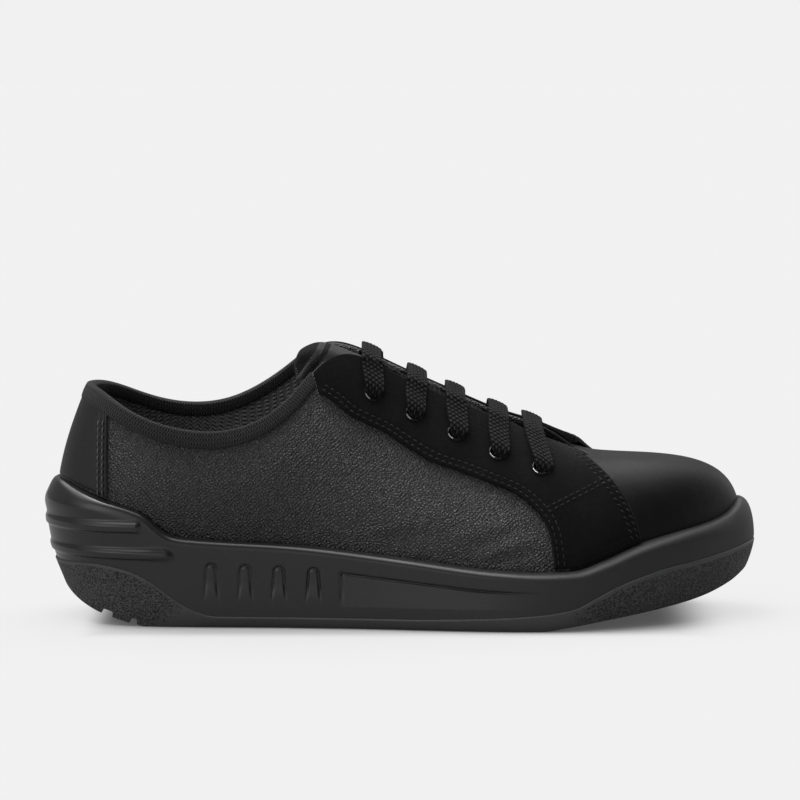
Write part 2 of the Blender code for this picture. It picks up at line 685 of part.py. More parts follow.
def make_collar_binding(parent):
    """Tape folded over the collar's edge from eyestay to eyestay round the heel."""
    reach = eyestay_rear() - TAPE_END
    inside = np.arange(-COLUMNS, COLUMNS) * TURN / COLUMNS
    k = np.concatenate([[-reach], inside[np.abs(inside) < reach - TAPE_END], [reach]])
    foot = share_below(k, BINDING_WIDTH)
    top = np.ones_like(foot)
    upward = unit(meridian(k, top) - meridian(k, top - NUDGE))
    near, far = TAPE_GAP, TAPE_GAP + BINDING_THICK
    profile = (
        (foot, far, 0.0), (top, far, 0.4), (top, -WALL / 2, BINDING_CROWN), (top, -WALL - far, 0.4),
        (foot, -WALL - far, 0.0), (foot, -WALL - near, 0.0), (top, -WALL - near, TAPE_RISE),
        (top, near, TAPE_RISE), (foot, near, 0.0),
    )
    lines = [skin(k, u, offset) + upward * rise for u, offset, rise in profile]
    shell = Shell()
    shell.sweep(np.stack(lines, axis=1))
    add("collar_binding", shell.mesh("collar_binding"), parent, finish("ribbed_tape", (0.02, 0.02, 0.02), 0.9))


# Tongue, eyelets and lace

def bridge(start, start_way, end, end_way, t):
    """Arch between two points that leaves and meets them along the given ways."""
    t = np.asarray(t)[:, None]
    rise = (3 - 2 * t) * t * t
    return start + (end - start) * rise + start_way * t * (1 - t) ** 2 + end_way * t * t * (t - 1)


def throat_arch(k, offset, arch, t):
    """Arch over the throat between the outer edge at k and the inner edge across from it."""
    pair = np.array([k, TURN - k], float)
    edge = skin(pair, np.ones(2), offset)
    way = unit(meridian(pair, np.ones(2)) - meridian(pair, np.ones(2) - NUDGE))
    span = np.linalg.norm(edge[1] - edge[0]) * arch
    return bridge(edge[0], way[0] * span, edge[1], -way[1] * span, t)


def tongue_row(ring, wing):
    """Points across the tongue's top face: under the outer eyestay, over the throat, under the inner one."""
    sink = -(WALL + TONGUE_GAP)
    wings = []
    for at in (ring, TURN - ring):
        shares = np.array([float(share_below(at, d)[0]) for d in (wing, wing / 2, 0.0)])
        wings.append(skin(np.full(len(shares), at), shares, sink))
    middle = throat_arch(ring, sink, TONGUE_ARCH, [0.25, 0.5, 0.75])
    return np.concatenate([wings[0], middle, wings[1][::-1]])


def tongue_root():
    """Front row of the tongue, held under the edge of the vamp."""
    k = np.linspace(TOE - TONGUE_ROOT_SPAN, TOE + TONGUE_ROOT_SPAN, TONGUE_POINTS)
    return skin(k, share_below(k, TONGUE_ROOT_REACH), -(WALL + TONGUE_ROOT_GAP))


def tongue_faces():
    """Grids of the tongue's top and bottom face, from root to top."""
    rows = [tongue_root()] + [tongue_row(*row) for row in TONGUE_ROWS]
    last = rows[-1]
    crest = last[len(last) // 2]
    for end in TONGUE_TOP:
        rows.append(crest + (last - crest) * (1, end.width, end.width) + (-end.back, 0, end.up))
    top = np.array(rows)
    normal = unit(np.cross(np.gradient(top, axis=0), np.gradient(top, axis=1)))
    normal *= np.sign(normal[len(rows) // 2, top.shape[1] // 2, 2])
    across = np.abs(np.linspace(-1, 1, top.shape[1]))
    thick = TONGUE_THICK + (TONGUE_EDGE - TONGUE_THICK) * across**2
    return top, top - normal * thick[:, None]


def make_tongue(parent):
    shell = Shell()
    shell.slab(*tongue_faces())
    add("tongue", shell.mesh("tongue"), parent, finish("tongue_fabric", (0.05, 0.05, 0.052), 0.95))


def eyelet_place(eyelet, side):
    """Ring and height share of an eyelet, set back from the throat's edge."""
    probe = np.linspace(6, TOE - 1, 200)
    turned = probe if side < 0 else TURN - probe
    shares = share_below(turned, eyelet.setback)
    k = float(np.interp(eyelet.x, meridian(turned, shares)[:, 0], turned))
    return k, float(share_below(k, eyelet.setback)[0])


def eyelet_matrix(k, u):
    """Frame of an eyelet: origin on the eyestay's face, Z outwards."""
    origin = skin(k, u, EYESTAY_GAP + EYESTAY_THICK)
    turn = Vector(skin_normal(k, u)).to_track_quat("Z", "Y").to_matrix().to_4x4()
    return Matrix.Translation(Vector(origin * MM)) @ turn


def eyelet_mesh():
    through = EYESTAY_GAP + EYESTAY_THICK + WALL
    profile = (
        (EYELET_BORE, -through), (EYELET_BARREL, -through), (EYELET_BARREL, EYELET_SEAT),
        (EYELET_FLANGE, EYELET_SEAT), (EYELET_FLANGE - 0.5, EYELET_PROUD), (EYELET_BORE + 0.4, EYELET_PROUD),
    )
    shell = Shell()
    rows = []
    for radius, height in profile:
        turns = np.arange(EYELET_SIDES) * 2 * math.pi / EYELET_SIDES
        rows.append(shell.row([(radius * math.cos(a), radius * math.sin(a), height) for a in turns]))
    for one, other in zip(rows, rows[1:] + rows[:1]):
        shell.band(one, other)
    return shell.mesh("eyelet")


def drill_mesh(places):
    """Drills through eyestay and upper at every eyelet."""
    shape = bmesh.new()
    length = 4 * WALL + EYESTAY_THICK
    for k, u in places:
        centre = Matrix.Translation((0, 0, -WALL * MM))
        bmesh.ops.create_cone(
            shape, cap_ends=True, segments=EYELET_SIDES, radius1=HOLE_RADIUS * MM, radius2=HOLE_RADIUS * MM,
            depth=length * MM, matrix=eyelet_matrix(k, u) @ centre,
        )
    mesh = bpy.data.meshes.new("eyelet_drills")
    shape.to_mesh(mesh)
    shape.free()
    return mesh


def make_eyelets(places, parent):
    enamel = finish("black_enamel", (0.012, 0.012, 0.012), 0.3, 0.6)
    mesh = eyelet_mesh()
    mesh.materials.append(enamel)
    for i, place in enumerate(places):
        row, side = i // 2 + 1, ("outer", "inner")[i % 2]
        eyelet = add(f"eyelet_{side}_{row}", mesh, parent)
        eyelet.matrix_world = eyelet_matrix(*place)


def ribbon(path, width_ways):
    """Flat lace along a path, its wide side along the given ways."""
    forward = unit(np.gradient(path, axis=0))
    normal = unit(np.cross(width_ways, forward))
    wide = unit(np.cross(forward, normal)) * LACE_WIDTH / 2
    thick = normal * LACE_THICK / 2
    corners = (-wide - thick, wide - thick, wide + thick, -wide + thick)
    shell = Shell()
    shell.sweep(np.stack([path + corner for corner in corners], axis=1))
    return shell


def bar_path(eyelet, places):
    """Middle line of a lace bar from the outer eyelet over the throat to the inner one."""
    face = EYESTAY_GAP + EYESTAY_THICK
    over_eyelet = face + EYELET_PROUD + LACE_OVER_EYELET + LACE_THICK / 2
    over_face = face + GAP + LACE_THICK / 2
    drops = np.array(BAR_DROPS) * eyelet.setback
    heights = over_face + (over_eyelet - over_face) * np.array(BAR_LIFTS)
    ends = []
    for k, _ in places:
        shares = np.array([float(share_below(k, drop)[0]) for drop in drops])
        ends.append(skin(np.full(len(shares), k), shares, heights))
    start, finish_point = ends[0][-1], ends[1][-1]
    span = np.linalg.norm(finish_point - start) * LACE_ARCH
    ways = [unit(end[-1] - end[-2]) * span for end in ends]
    middle = bridge(start, ways[0], finish_point, -ways[1], [0.25, 0.5, 0.75])
    return np.concatenate([ends[0], middle, ends[1][::-1]])


def make_lace(places, parent):
    cord = finish("lace_weave", (0.02, 0.02, 0.02), 0.9)
    pairs = list(zip(places[::2], places[1::2]))
    for i, (eyelet, pair) in enumerate(zip(EYELETS, pairs), 1):
        path = bar_path(eyelet, pair)
        way = throat_way(pair[0][0])
        name = f"lace_bar_{i}"
        add(name, ribbon(path, np.tile(way, (len(path), 1))).mesh(name), parent, cord)
    for i, (one, other) in enumerate(zip(pairs, pairs[1:]), 1):
        t = np.linspace(*DIAGONAL_SPAN, DIAGONAL_POINTS)
        k = np.linspace(one[0][0], other[0][0], DIAGONAL_POINTS)
        lift = LACE_OVER_TONGUE + LACE_THICK / 2 - WALL - TONGUE_GAP
        path = np.array([throat_arch(at, lift, TONGUE_ARCH, [share])[0] for at, share in zip(k, t)])
        name = f"lace_diagonal_{i}"
        add(name, ribbon(path, np.tile(throat_way(k.mean()), (len(path), 1))).mesh(name), parent, cord)


def throat_way(k):
    """Direction of the throat's edge towards the toe."""
    k = np.array([k - NUDGE, k + NUDGE])
    ends = meridian(k, np.ones(2))
    return unit(ends[1] - ends[0])


def main():
    for thing in list(bpy.data.objects):
        bpy.data.objects.remove(thing, do_unlink=True)
    shoe = bpy.data.objects.new("shoe", None)
    bpy.context.scene.collection.objects.link(shoe)
    places = [eyelet_place(eyelet, side) for eyelet in EYELETS for side in (-1, 1)]
    drills = add_helper("eyelet_drills", drill_mesh(places), shoe)
    make_outsole(shoe)
    make_midsole(shoe)
    make_insole(shoe)
    make_upper(shoe, drills)
    make_eyestay("eyestay_outer", -1, shoe, drills)
    make_eyestay("eyestay_inner", 1, shoe, drills)
    make_heel_counter(shoe)
    make_collar_binding(shoe)
    make_tongue(shoe)
    make_eyelets(places, shoe)
    make_lace(places, shoe)


if __name__ == "__main__":
    main()
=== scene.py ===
"""Looks of a low lace-up safety shoe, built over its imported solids.

It is the right shoe of a pair, toe towards +X and outer side towards -Y. The last's surface and the sole's
wall are worked out from the same stations as the solids, at a finer pitch, and every panel, seam, stitch and
crease lies on them. Sizes here are millimetres, and meshes are made in metres.
"""

import json
import logging
import math
from dataclasses import dataclass
from enum import Enum
from typing import Callable, Sequence

import bmesh
import bpy
import numpy as np
from mathutils import Matrix, Vector
from mathutils.kdtree import KDTree

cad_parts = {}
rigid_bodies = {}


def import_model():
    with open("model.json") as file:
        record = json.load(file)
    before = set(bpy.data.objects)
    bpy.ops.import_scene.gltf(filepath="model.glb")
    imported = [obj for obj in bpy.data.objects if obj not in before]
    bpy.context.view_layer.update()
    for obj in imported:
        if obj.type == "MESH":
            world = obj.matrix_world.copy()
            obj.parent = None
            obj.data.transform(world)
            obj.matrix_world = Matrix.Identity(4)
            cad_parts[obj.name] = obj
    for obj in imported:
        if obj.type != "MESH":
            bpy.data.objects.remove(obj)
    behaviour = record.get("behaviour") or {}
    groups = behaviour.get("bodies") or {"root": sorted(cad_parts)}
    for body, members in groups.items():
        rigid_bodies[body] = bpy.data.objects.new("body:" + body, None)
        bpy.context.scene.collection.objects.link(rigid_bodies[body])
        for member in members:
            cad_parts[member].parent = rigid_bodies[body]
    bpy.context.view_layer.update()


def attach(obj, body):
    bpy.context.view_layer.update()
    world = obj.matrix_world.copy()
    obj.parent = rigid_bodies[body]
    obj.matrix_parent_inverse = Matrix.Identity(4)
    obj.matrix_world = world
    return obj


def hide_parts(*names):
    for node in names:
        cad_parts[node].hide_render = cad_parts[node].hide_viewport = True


Array = np.ndarray
Pair = tuple[float, float]
Colour = tuple[float, float, float]
Socket = bpy.types.NodeSocket
Tree = bpy.types.NodeTree

LOG = logging.getLogger("safety_shoe")
MM = 0.001
NUDGE = 1e-3
FINE = np.linspace(0.0, 1.0, 201)
BODY = "root"
HOLE_RADIUS = 2.7
HOLE_REACH = 5.0


class Side(Enum):
    """Side of the foot that a panel lies on."""

    OUTER = -1
    INNER = 1

    @property
    def word(self) -> str:
        """Name of the side as the nodes spell it."""
        return self.name.lower()

    def ring(self, k: Array | float) -> Array | float:
        """Ring shares of the outer side, or those that mirror them on the inner side."""
        return k if self is Side.OUTER else TURN - k


@dataclass(frozen=True)
class Station:
    """One section of the last, from heel to toe.

    Lengths are shares of the shoe's length, half widths shares of half of the ball's width and heights shares
    of the instep's height. Lift is how much higher the inner side ends. Flare and rise are the section's
    handle at the feather line, spread and drop its handle at the top line.
    """

    along: float
    outer: float
    inner: float
    top_along: float
    top_outer: float
    top_inner: float
    top_height: float
    lift: float
    flare: float
    rise: float
    spread: float
    drop: float


STATIONS = (
    Station(0.004, 0.00, 0.00, 0.064, 0.00, 0.00, 0.857, 0.0, 6.0, 20.0, 10.0, 24.0),
    Station(0.025, 0.37, 0.37, 0.082, 0.33, 0.33, 0.842, 0.5, 5.6, 20.0, 8.0, 23.0),
    Station(0.079, 0.63, 0.63, 0.121, 0.56, 0.56, 0.784, 2.0, 5.2, 20.0, 4.0, 22.0),
    Station(0.161, 0.735, 0.73, 0.179, 0.65, 0.64, 0.724, 3.5, 5.0, 20.0, 3.0, 20.0),
    Station(0.257, 0.76, 0.74, 0.257, 0.665, 0.65, 0.707, 6.6, 5.0, 20.0, 4.0, 18.0),
    Station(0.339, 0.78, 0.72, 0.332, 0.61, 0.59, 0.787, 9.7, 5.0, 22.0, 7.0, 18.0),
    Station(0.400, 0.81, 0.71, 0.382, 0.43, 0.42, 0.922, 6.2, 4.5, 25.0, 11.0, 15.0),
    Station(0.457, 0.845, 0.73, 0.432, 0.29, 0.29, 0.977, 1.0, 4.5, 28.0, 11.5, 16.0),
    Station(0.521, 0.90, 0.78, 0.500, 0.26, 0.26, 0.897, 1.2, 4.0, 30.0, 12.0, 16.0),
    Station(0.593, 0.96, 0.87, 0.571, 0.25, 0.25, 0.811, 1.4, 4.0, 29.0, 13.5, 14.0),
    Station(0.671, 0.995, 0.96, 0.643, 0.24, 0.24, 0.728, 1.6, 4.0, 28.0, 15.5, 11.5),
    Station(0.757, 0.95, 1.00, 0.704, 0.22, 0.22, 0.660, 3.0, 4.5, 29.0, 18.0, 7.5),
    Station(0.843, 0.80, 0.94, 0.743, 0.165, 0.165, 0.616, 1.0, 5.5, 33.0, 23.5, 3.0),
    Station(0.918, 0.55, 0.78, 0.759, 0.105, 0.105, 0.600, 0.4, 7.0, 38.0, 30.0, 1.0),
    Station(0.977, 0.20, 0.53, 0.766, 0.05, 0.05, 0.596, 0.0, 8.2, 42.0, 35.0, 0.2),
    Station(1.003, -0.16, 0.16, 0.768, 0.00, 0.00, 0.595, 0.0, 8.5, 42.5, 36.5, 0.0),
)
TOE = len(STATIONS) - 1
TURN = 2 * TOE


class RingCurve:
    """Smooth closed curve through one value for each station of the ring."""

    def __init__(self, values: Sequence[float]) -> None:
        """Solves the control values.

        Args:
            values: One value for each station, round the ring.
        """
        identity = np.eye(TURN)
        blend = (4 * identity + np.roll(identity, 1, 0) + np.roll(identity, -1, 0)) / 6
        self.control = np.linalg.solve(blend, np.array(values, float))

    def __call__(self, k: Array) -> Array:
        """Value of the curve.

        Args:
            k: Ring shares, counted in stations from the heel.

        Returns:
            The curve's value at each of them.
        """
        k = np.asarray(k, float)
        base = np.floor(k).astype(int)
        t = k - base
        weights = ((1 - t) ** 3, 3 * t**3 - 6 * t**2 + 4, -3 * t**3 + 3 * t**2 + 3 * t + 1, t**3)
        return sum(w * self.control[(base + j - 1) % TURN] for j, w in enumerate(weights)) / 6


class SideLine:
    """Smooth line through a few (x, value) points, with no overshoot between them."""

    def __init__(self, *points: Pair) -> None:
        """Works out the slopes.

        Args:
            points: Places along the shoe with the line's value there.
        """
        self.x, self.v = np.array(points, float).T
        step = np.diff(self.v) / np.diff(self.x)
        before, after = step[:-1], step[1:]
        same_way = before * after > 0
        safe = np.where(same_way, before + after, 1.0)
        inner = np.where(same_way, 2 * before * after / safe, 0.0)
        self.slope = np.concatenate([step[:1], inner, step[-1:]])

    def __call__(self, x: Array) -> Array:
        """Value of the line.

        Args:
            x: Places along the shoe.

        Returns:
            The line's value at each of them.
        """
        x = np.clip(x, self.x[0], self.x[-1])
        i = np.clip(np.searchsorted(self.x, x) - 1, 0, len(self.x) - 2)
        h = self.x[i + 1] - self.x[i]
        t = (x - self.x[i]) / h
        start, end = self.v[i], self.v[i + 1]
        rise = (3 - 2 * t) * t * t
        ease_in, ease_out = t * (1 - t) ** 2, t * t * (t - 1)
        return start + (end - start) * rise + h * (self.slope[i] * ease_in + self.slope[i + 1] * ease_out)


TREAD = SideLine(
    (-136, 21.0), (-131, 13.4), (-125, 8.7), (-118, 5.2), (-110, 2.6), (-102, 0.6), (-98, 0.0),
    (55, 0.0), (64, 1.2), (76, 3.0), (90, 5.0), (106, 7.4), (118, 9.8), (130, 13.9), (138, 18.5),
)
JOINT = SideLine(
    (-137, 23.2), (-120, 24.0), (-112, 23.2), (-104, 21.4), (-97, 18.2), (-90, 13.2), (-84, 9.0), (-78, 6.0),
    (-70, 4.3), (0, 4.2), (30, 5.0), (55, 6.6), (67, 8.6), (75, 12.4), (83, 16.4), (94, 20.4),
    (105, 23.2), (118, 25.2), (130, 27.2), (140, 29.4),
)
FLOOR = SideLine(
    (-133, 27.0), (-90, 26.5), (-60, 24.0), (-20, 19.0), (20, 14.6), (50, 12.6), (72, 12.8), (95, 15.0),
    (115, 18.8), (133, 22.8),
)
RIM = SideLine(
    (-136, 54.5), (-116, 48.3), (-101, 44.0), (-88, 35.4), (-82, 34.5), (-36, 31.7), (0, 27.7),
    (37, 23.3), (55, 22.4), (68, 22.8), (79, 26.0), (95, 32.0), (112, 36.0), (124, 38.2), (132, 40.3),
    (137, 43.0), (140, 45.2),
)
CROWN = SideLine(
    (-140, 12), (-125, 8), (-110, 5), (-88, 3), (70, 3), (95, 3.2), (120, 4.6), (132, 8), (140, 15),
)
JOINT_TUCK = SideLine((-140, 3.7), (-120, 2.0), (-95, 0.3), (-80, 0.0), (80, 0.0), (110, 0.3), (140, 0.4))
TREAD_TUCK = SideLine(
    (-140, 6.5), (-125, 4.5), (-105, 2.2), (-80, 1.2), (60, 1.2), (85, 3.0), (110, 4.5), (140, 3.0),
)


def unit(vectors: Array) -> Array:
    """Vectors made one long."""
    return vectors / np.linalg.norm(vectors, axis=-1, keepdims=True)


def ease(value: Array, start: float = 0.0, end: float = 1.0) -> Array:
    """Soft step from 0 at start to 1 at end."""
    t = np.clip((np.asarray(value, float) - start) / (end - start), 0, 1)
    return t * t * (3 - 2 * t)


def hump(value: Array, middle: float, width: float) -> Array:
    """Soft hump, 1 at its middle."""
    return np.exp(-(((value - middle) / width) ** 2))


def sheet(along: Array, across: Array) -> Array:
    """Texture places from distances along and across a piece."""
    return np.stack(np.broadcast_arrays(along, across), -1)


def round_about(aside: Array, upward: Array, turns: Array) -> Array:
    """Directions round a line, a ring of them at each of its points."""
    return aside[:, None] * np.cos(turns)[:, None] + upward[:, None] * np.sin(turns)[:, None]


def arch_point(start: Array, stop: Array, ways: Sequence[Array], share: float) -> Array:
    """Point of an arch between two edges.

    Args:
        start: End of the arch at share 0.
        stop: End of the arch at share 1.
        ways: Upward directions at both ends, longer for a higher arch.
        share: Place along the arch.

    Returns:
        The point.
    """
    rise = (3 - 2 * share) * share * share
    lean = ways[0] * share * (1 - share) ** 2 - ways[1] * share * share * (share - 1)
    return start + (stop - start) * rise + lean


def lengths(points: Array) -> Array:
    """Distance of each point of a line from its start, along the line."""
    steps = np.linalg.norm(np.diff(points, axis=0), axis=-1)
    return np.concatenate([np.zeros((1, *steps.shape[1:])), np.cumsum(steps, axis=0)])


def smooth_line(points: Array, count: int) -> Array:
    """Smooth curve through points.

    Args:
        points: Points along the first axis, with any number of columns.
        count: Number of points of the curve.

    Returns:
        The curve's points.
    """
    ends = np.concatenate([2 * points[:1] - points[1:2], points, 2 * points[-1:] - points[-2:-1]])
    t = np.linspace(0, len(points) - 1, count)
    i = np.minimum(t.astype(int), len(points) - 2)
    f = (t - i).reshape(-1, *[1] * (points.ndim - 1))
    a, b, c, d = (ends[i + j] for j in range(4))
    return 0.5 * (2 * b + (c - a) * f + (2 * a - 5 * b + 4 * c - d) * f**2 + (3 * b - a - 3 * c + d) * f**3)


def even_line(points: Array, step: float, smooth: int = 24) -> Array:
    """Smooth curve through points, resampled at an even step.

    Args:
        points: Points with x, y and z first; other columns are carried along.
        step: Distance between the new points.
        smooth: Points between two given ones while the curve is measured.

    Returns:
        The new points, with the same columns.
    """
    fine = smooth_line(points, smooth * len(points))
    run = lengths(fine[:, :3])
    places = np.linspace(0, run[-1], max(2, int(round(run[-1] / step)) + 1))
    return np.stack([np.interp(places, run, column) for column in fine.T], -1)


def first_rise(excess: Array, places: Array) -> Array:
    """Place where each column of excess first becomes positive.

    Args:
        excess: Values, a row for each place.
        places: The places of the rows.

    Returns:
        One place for each column, the last one where it never rises.
    """
    above = excess > 0
    after = np.clip(np.argmax(above, axis=0), 1, len(excess) - 1)
    column = np.arange(excess.shape[1])
    low, high = excess[after - 1, column], excess[after, column]
    share = np.clip(-low / np.where(high == low, 1.0, high - low), 0, 1)
    found = places[after - 1] + share * (places[after] - places[after - 1])
    return np.where(above.any(axis=0), found, places[-1])


@dataclass
class Last:
    """Foot form of the shoe: the upper's outer face and the side of the sole."""

    length: float = 280.0
    ball_width: float = 100.0
    instep_height: float = 106.0
    feather_inset: float = 7.2
    wall_thick: float = 2.0
    gap: float = 0.3
    lip: float = 1.3
    least_crown_inset: float = 0.6

    def __post_init__(self) -> None:
        """Draws the ring curves through the stations."""
        ring = [(row, -1) for row in STATIONS] + [(row, 1) for row in STATIONS[-2:0:-1]]
        half = self.ball_width / 2

        def curve(value: Callable[[Station, int], float]) -> RingCurve:
            """Curve of one value round the ring."""
            return RingCurve([value(row, side) for row, side in ring])

        self.outline = (
            curve(lambda row, side: (row.along - 0.5) * self.length),
            curve(lambda row, side: half * (-row.outer if side < 0 else row.inner)),
        )
        self.top_line = (
            curve(lambda row, side: (row.top_along - 0.5) * self.length),
            curve(lambda row, side: half * (-row.top_outer if side < 0 else row.top_inner)),
        )
        self.top_height = curve(
            lambda row, side: row.top_height * self.instep_height + (row.lift if side > 0 else 0.0)
        )
        self.flare = curve(lambda row, side: row.flare)
        self.rise = curve(lambda row, side: row.rise)
        self.spread = curve(lambda row, side: row.spread)
        self.drop = curve(lambda row, side: row.drop)

    @staticmethod
    def plan(curves: tuple[RingCurve, RingCurve], k: Array) -> tuple[Array, Array]:
        """Points of a closed plan curve and its outward normals.

        Args:
            curves: The curve's x and y.
            k: Ring shares.

        Returns:
            Points and normals, each as (x, y) on the first axis.
        """
        here = np.stack([curve(k) for curve in curves])
        along = np.stack([curve(k + NUDGE) - curve(k - NUDGE) for curve in curves])
        size = np.hypot(*along)
        return here, np.stack([along[1] / size, -along[0] / size])

    def meridian(self, k: Array, u: Array) -> Array:
        """Points of the upper's outer face.

        Args:
            k: Ring shares.
            u: Height shares, 0 at the feather line and 1 at the top line.

        Returns:
            Points, with x, y and z on the last axis.
        """
        k, u = np.broadcast_arrays(np.asarray(k, float), np.asarray(u, float))
        out, (nx, ny) = self.plan(self.outline, k)
        (top_x, top_y), (mx, my) = self.plan(self.top_line, k)
        foot_x, foot_y = out[0] - self.feather_inset * nx, out[1] - self.feather_inset * ny
        foot = np.stack([foot_x, foot_y, FLOOR(foot_x) + self.gap], -1)
        low = foot + np.stack([self.flare(k) * nx, self.flare(k) * ny, self.rise(k)], -1)
        top = np.stack([top_x, top_y, self.top_height(k)], -1)
        high = top + np.stack([self.spread(k) * mx, self.spread(k) * my, -self.drop(k)], -1)
        u = u[..., None]
        v = 1 - u
        return v**3 * foot + 3 * v * v * u * low + 3 * v * u * u * high + u**3 * top

    def ways(self, k: Array, u: Array) -> tuple[Array, Array, Array]:
        """Change of a point with its two shares, and the outward normal.

        Args:
            k: Ring shares.
            u: Height shares.

        Returns:
            Change with the ring share, change with the height share, and normals.
        """
        along = (self.meridian(k + NUDGE, u) - self.meridian(k - NUDGE, u)) / (2 * NUDGE)
        upward = (self.meridian(k, u + NUDGE) - self.meridian(k, u - NUDGE)) / (2 * NUDGE)
        return along, upward, unit(np.cross(along, upward))

    def skin(self, k: Array, u: Array, offset: Array = 0.0) -> Array:
        """Points at a distance from the upper's outer face, positive outwards."""
        return self.meridian(k, u) + np.asarray(offset, float)[..., None] * self.ways(k, u)[2]

    def rim_share(self, k: Array) -> Array:
        """Height share where each meridian passes the sole's rim."""
        points = self.meridian(k[None, :], FINE[:, None])
        return first_rise(points[..., 2] - RIM(self.outline[0](k)), FINE)

    def over_rim(self, k: Array) -> Array:
        """Height share where a panel ends, a gap over the sole's rim."""
        return self.rim_share(k) + self.gap / self.rise(k)

    def line_share(self, k: Array, line: SideLine) -> Array:
        """Height share where each meridian passes a side line of (x, z)."""
        points = self.meridian(k[None, :], FINE[:, None])
        return first_rise(points[..., 2] - line(points[..., 0]), FINE)

    def share_below(self, k: Array, distance: float) -> Array:
        """Height share at a distance down each meridian from the top line."""
        run = lengths(self.meridian(np.atleast_1d(k)[None, :], FINE[::-1, None]))
        return np.array([np.interp(distance, column, FINE[::-1]) for column in run.T])

    def side_share(self, x: Array, side: Side) -> Array:
        """Ring share where the outline passes x on one side."""
        k = side.ring(np.linspace(0, TOE, 400))
        return np.interp(x, self.outline[0](k), k)

    def line_beside(self, k: Array, u: Array, distance: float) -> tuple[Array, Array]:
        """Line on the upper beside another one, to the left of its way as seen from outside.

        Args:
            k: Ring shares of the first line.
            u: Height shares of the first line.
            distance: Distance between the two.

        Returns:
            Ring and height shares of the second line.
        """
        along, upward, normal = self.ways(k, u)
        forward = np.gradient(self.meridian(k, u), axis=0)
        left = unit(np.cross(normal, forward)) * distance
        aa, ab, bb = (along * along).sum(-1), (along * upward).sum(-1), (upward * upward).sum(-1)
        pa, pb = (along * left).sum(-1), (upward * left).sum(-1)
        size = aa * bb - ab * ab
        return k + (pa * bb - pb * ab) / size, u + (pb * aa - pa * ab) / size

    def crown_inset(self, k: Array) -> Array:
        """Distance of the midsole's crown from the outline.

        Args:
            k: Ring shares.

        Returns:
            The distances.
        """
        (out_x, out_y), (nx, ny) = self.plan(self.outline, k)
        rim_point = self.meridian(k, self.rim_share(k))
        reach = (out_x - rim_point[..., 0]) * nx + (out_y - rim_point[..., 1]) * ny
        return np.maximum(reach - self.gap - self.lip, self.least_crown_inset)

    def wall(self, k: Array, z: Array, crown: Array, proud: Array = 0.0) -> Array:
        """Points on the midsole's side.

        Args:
            k: Ring shares.
            z: Heights.
            crown: Distances of the crown from the outline.
            proud: Distances that the points are moved outwards.

        Returns:
            Points, with x, y and z on the last axis.
        """
        (x, y), (nx, ny) = self.plan(self.outline, k)
        shoulder = RIM(x) - CROWN(x)
        share = np.clip((z - JOINT(x)) / (shoulder - JOINT(x)), 0, 1)
        rise = np.clip((z - shoulder) / CROWN(x), 0, 1)
        inset = JOINT_TUCK(x) * (1 - share) ** 2 + crown * (1 - np.sqrt(1 - rise**2)) - proud
        return np.stack([x - inset * nx, y - inset * ny, z], -1)

    def outline_ring(self, k: Array, inset: Array, z: Array) -> Array:
        """Ring of points inside the outline at given heights."""
        (out_x, out_y), (nx, ny) = self.plan(self.outline, k)
        return np.stack([out_x - inset * nx, out_y - inset * ny, np.broadcast_to(z, np.shape(k))], -1)


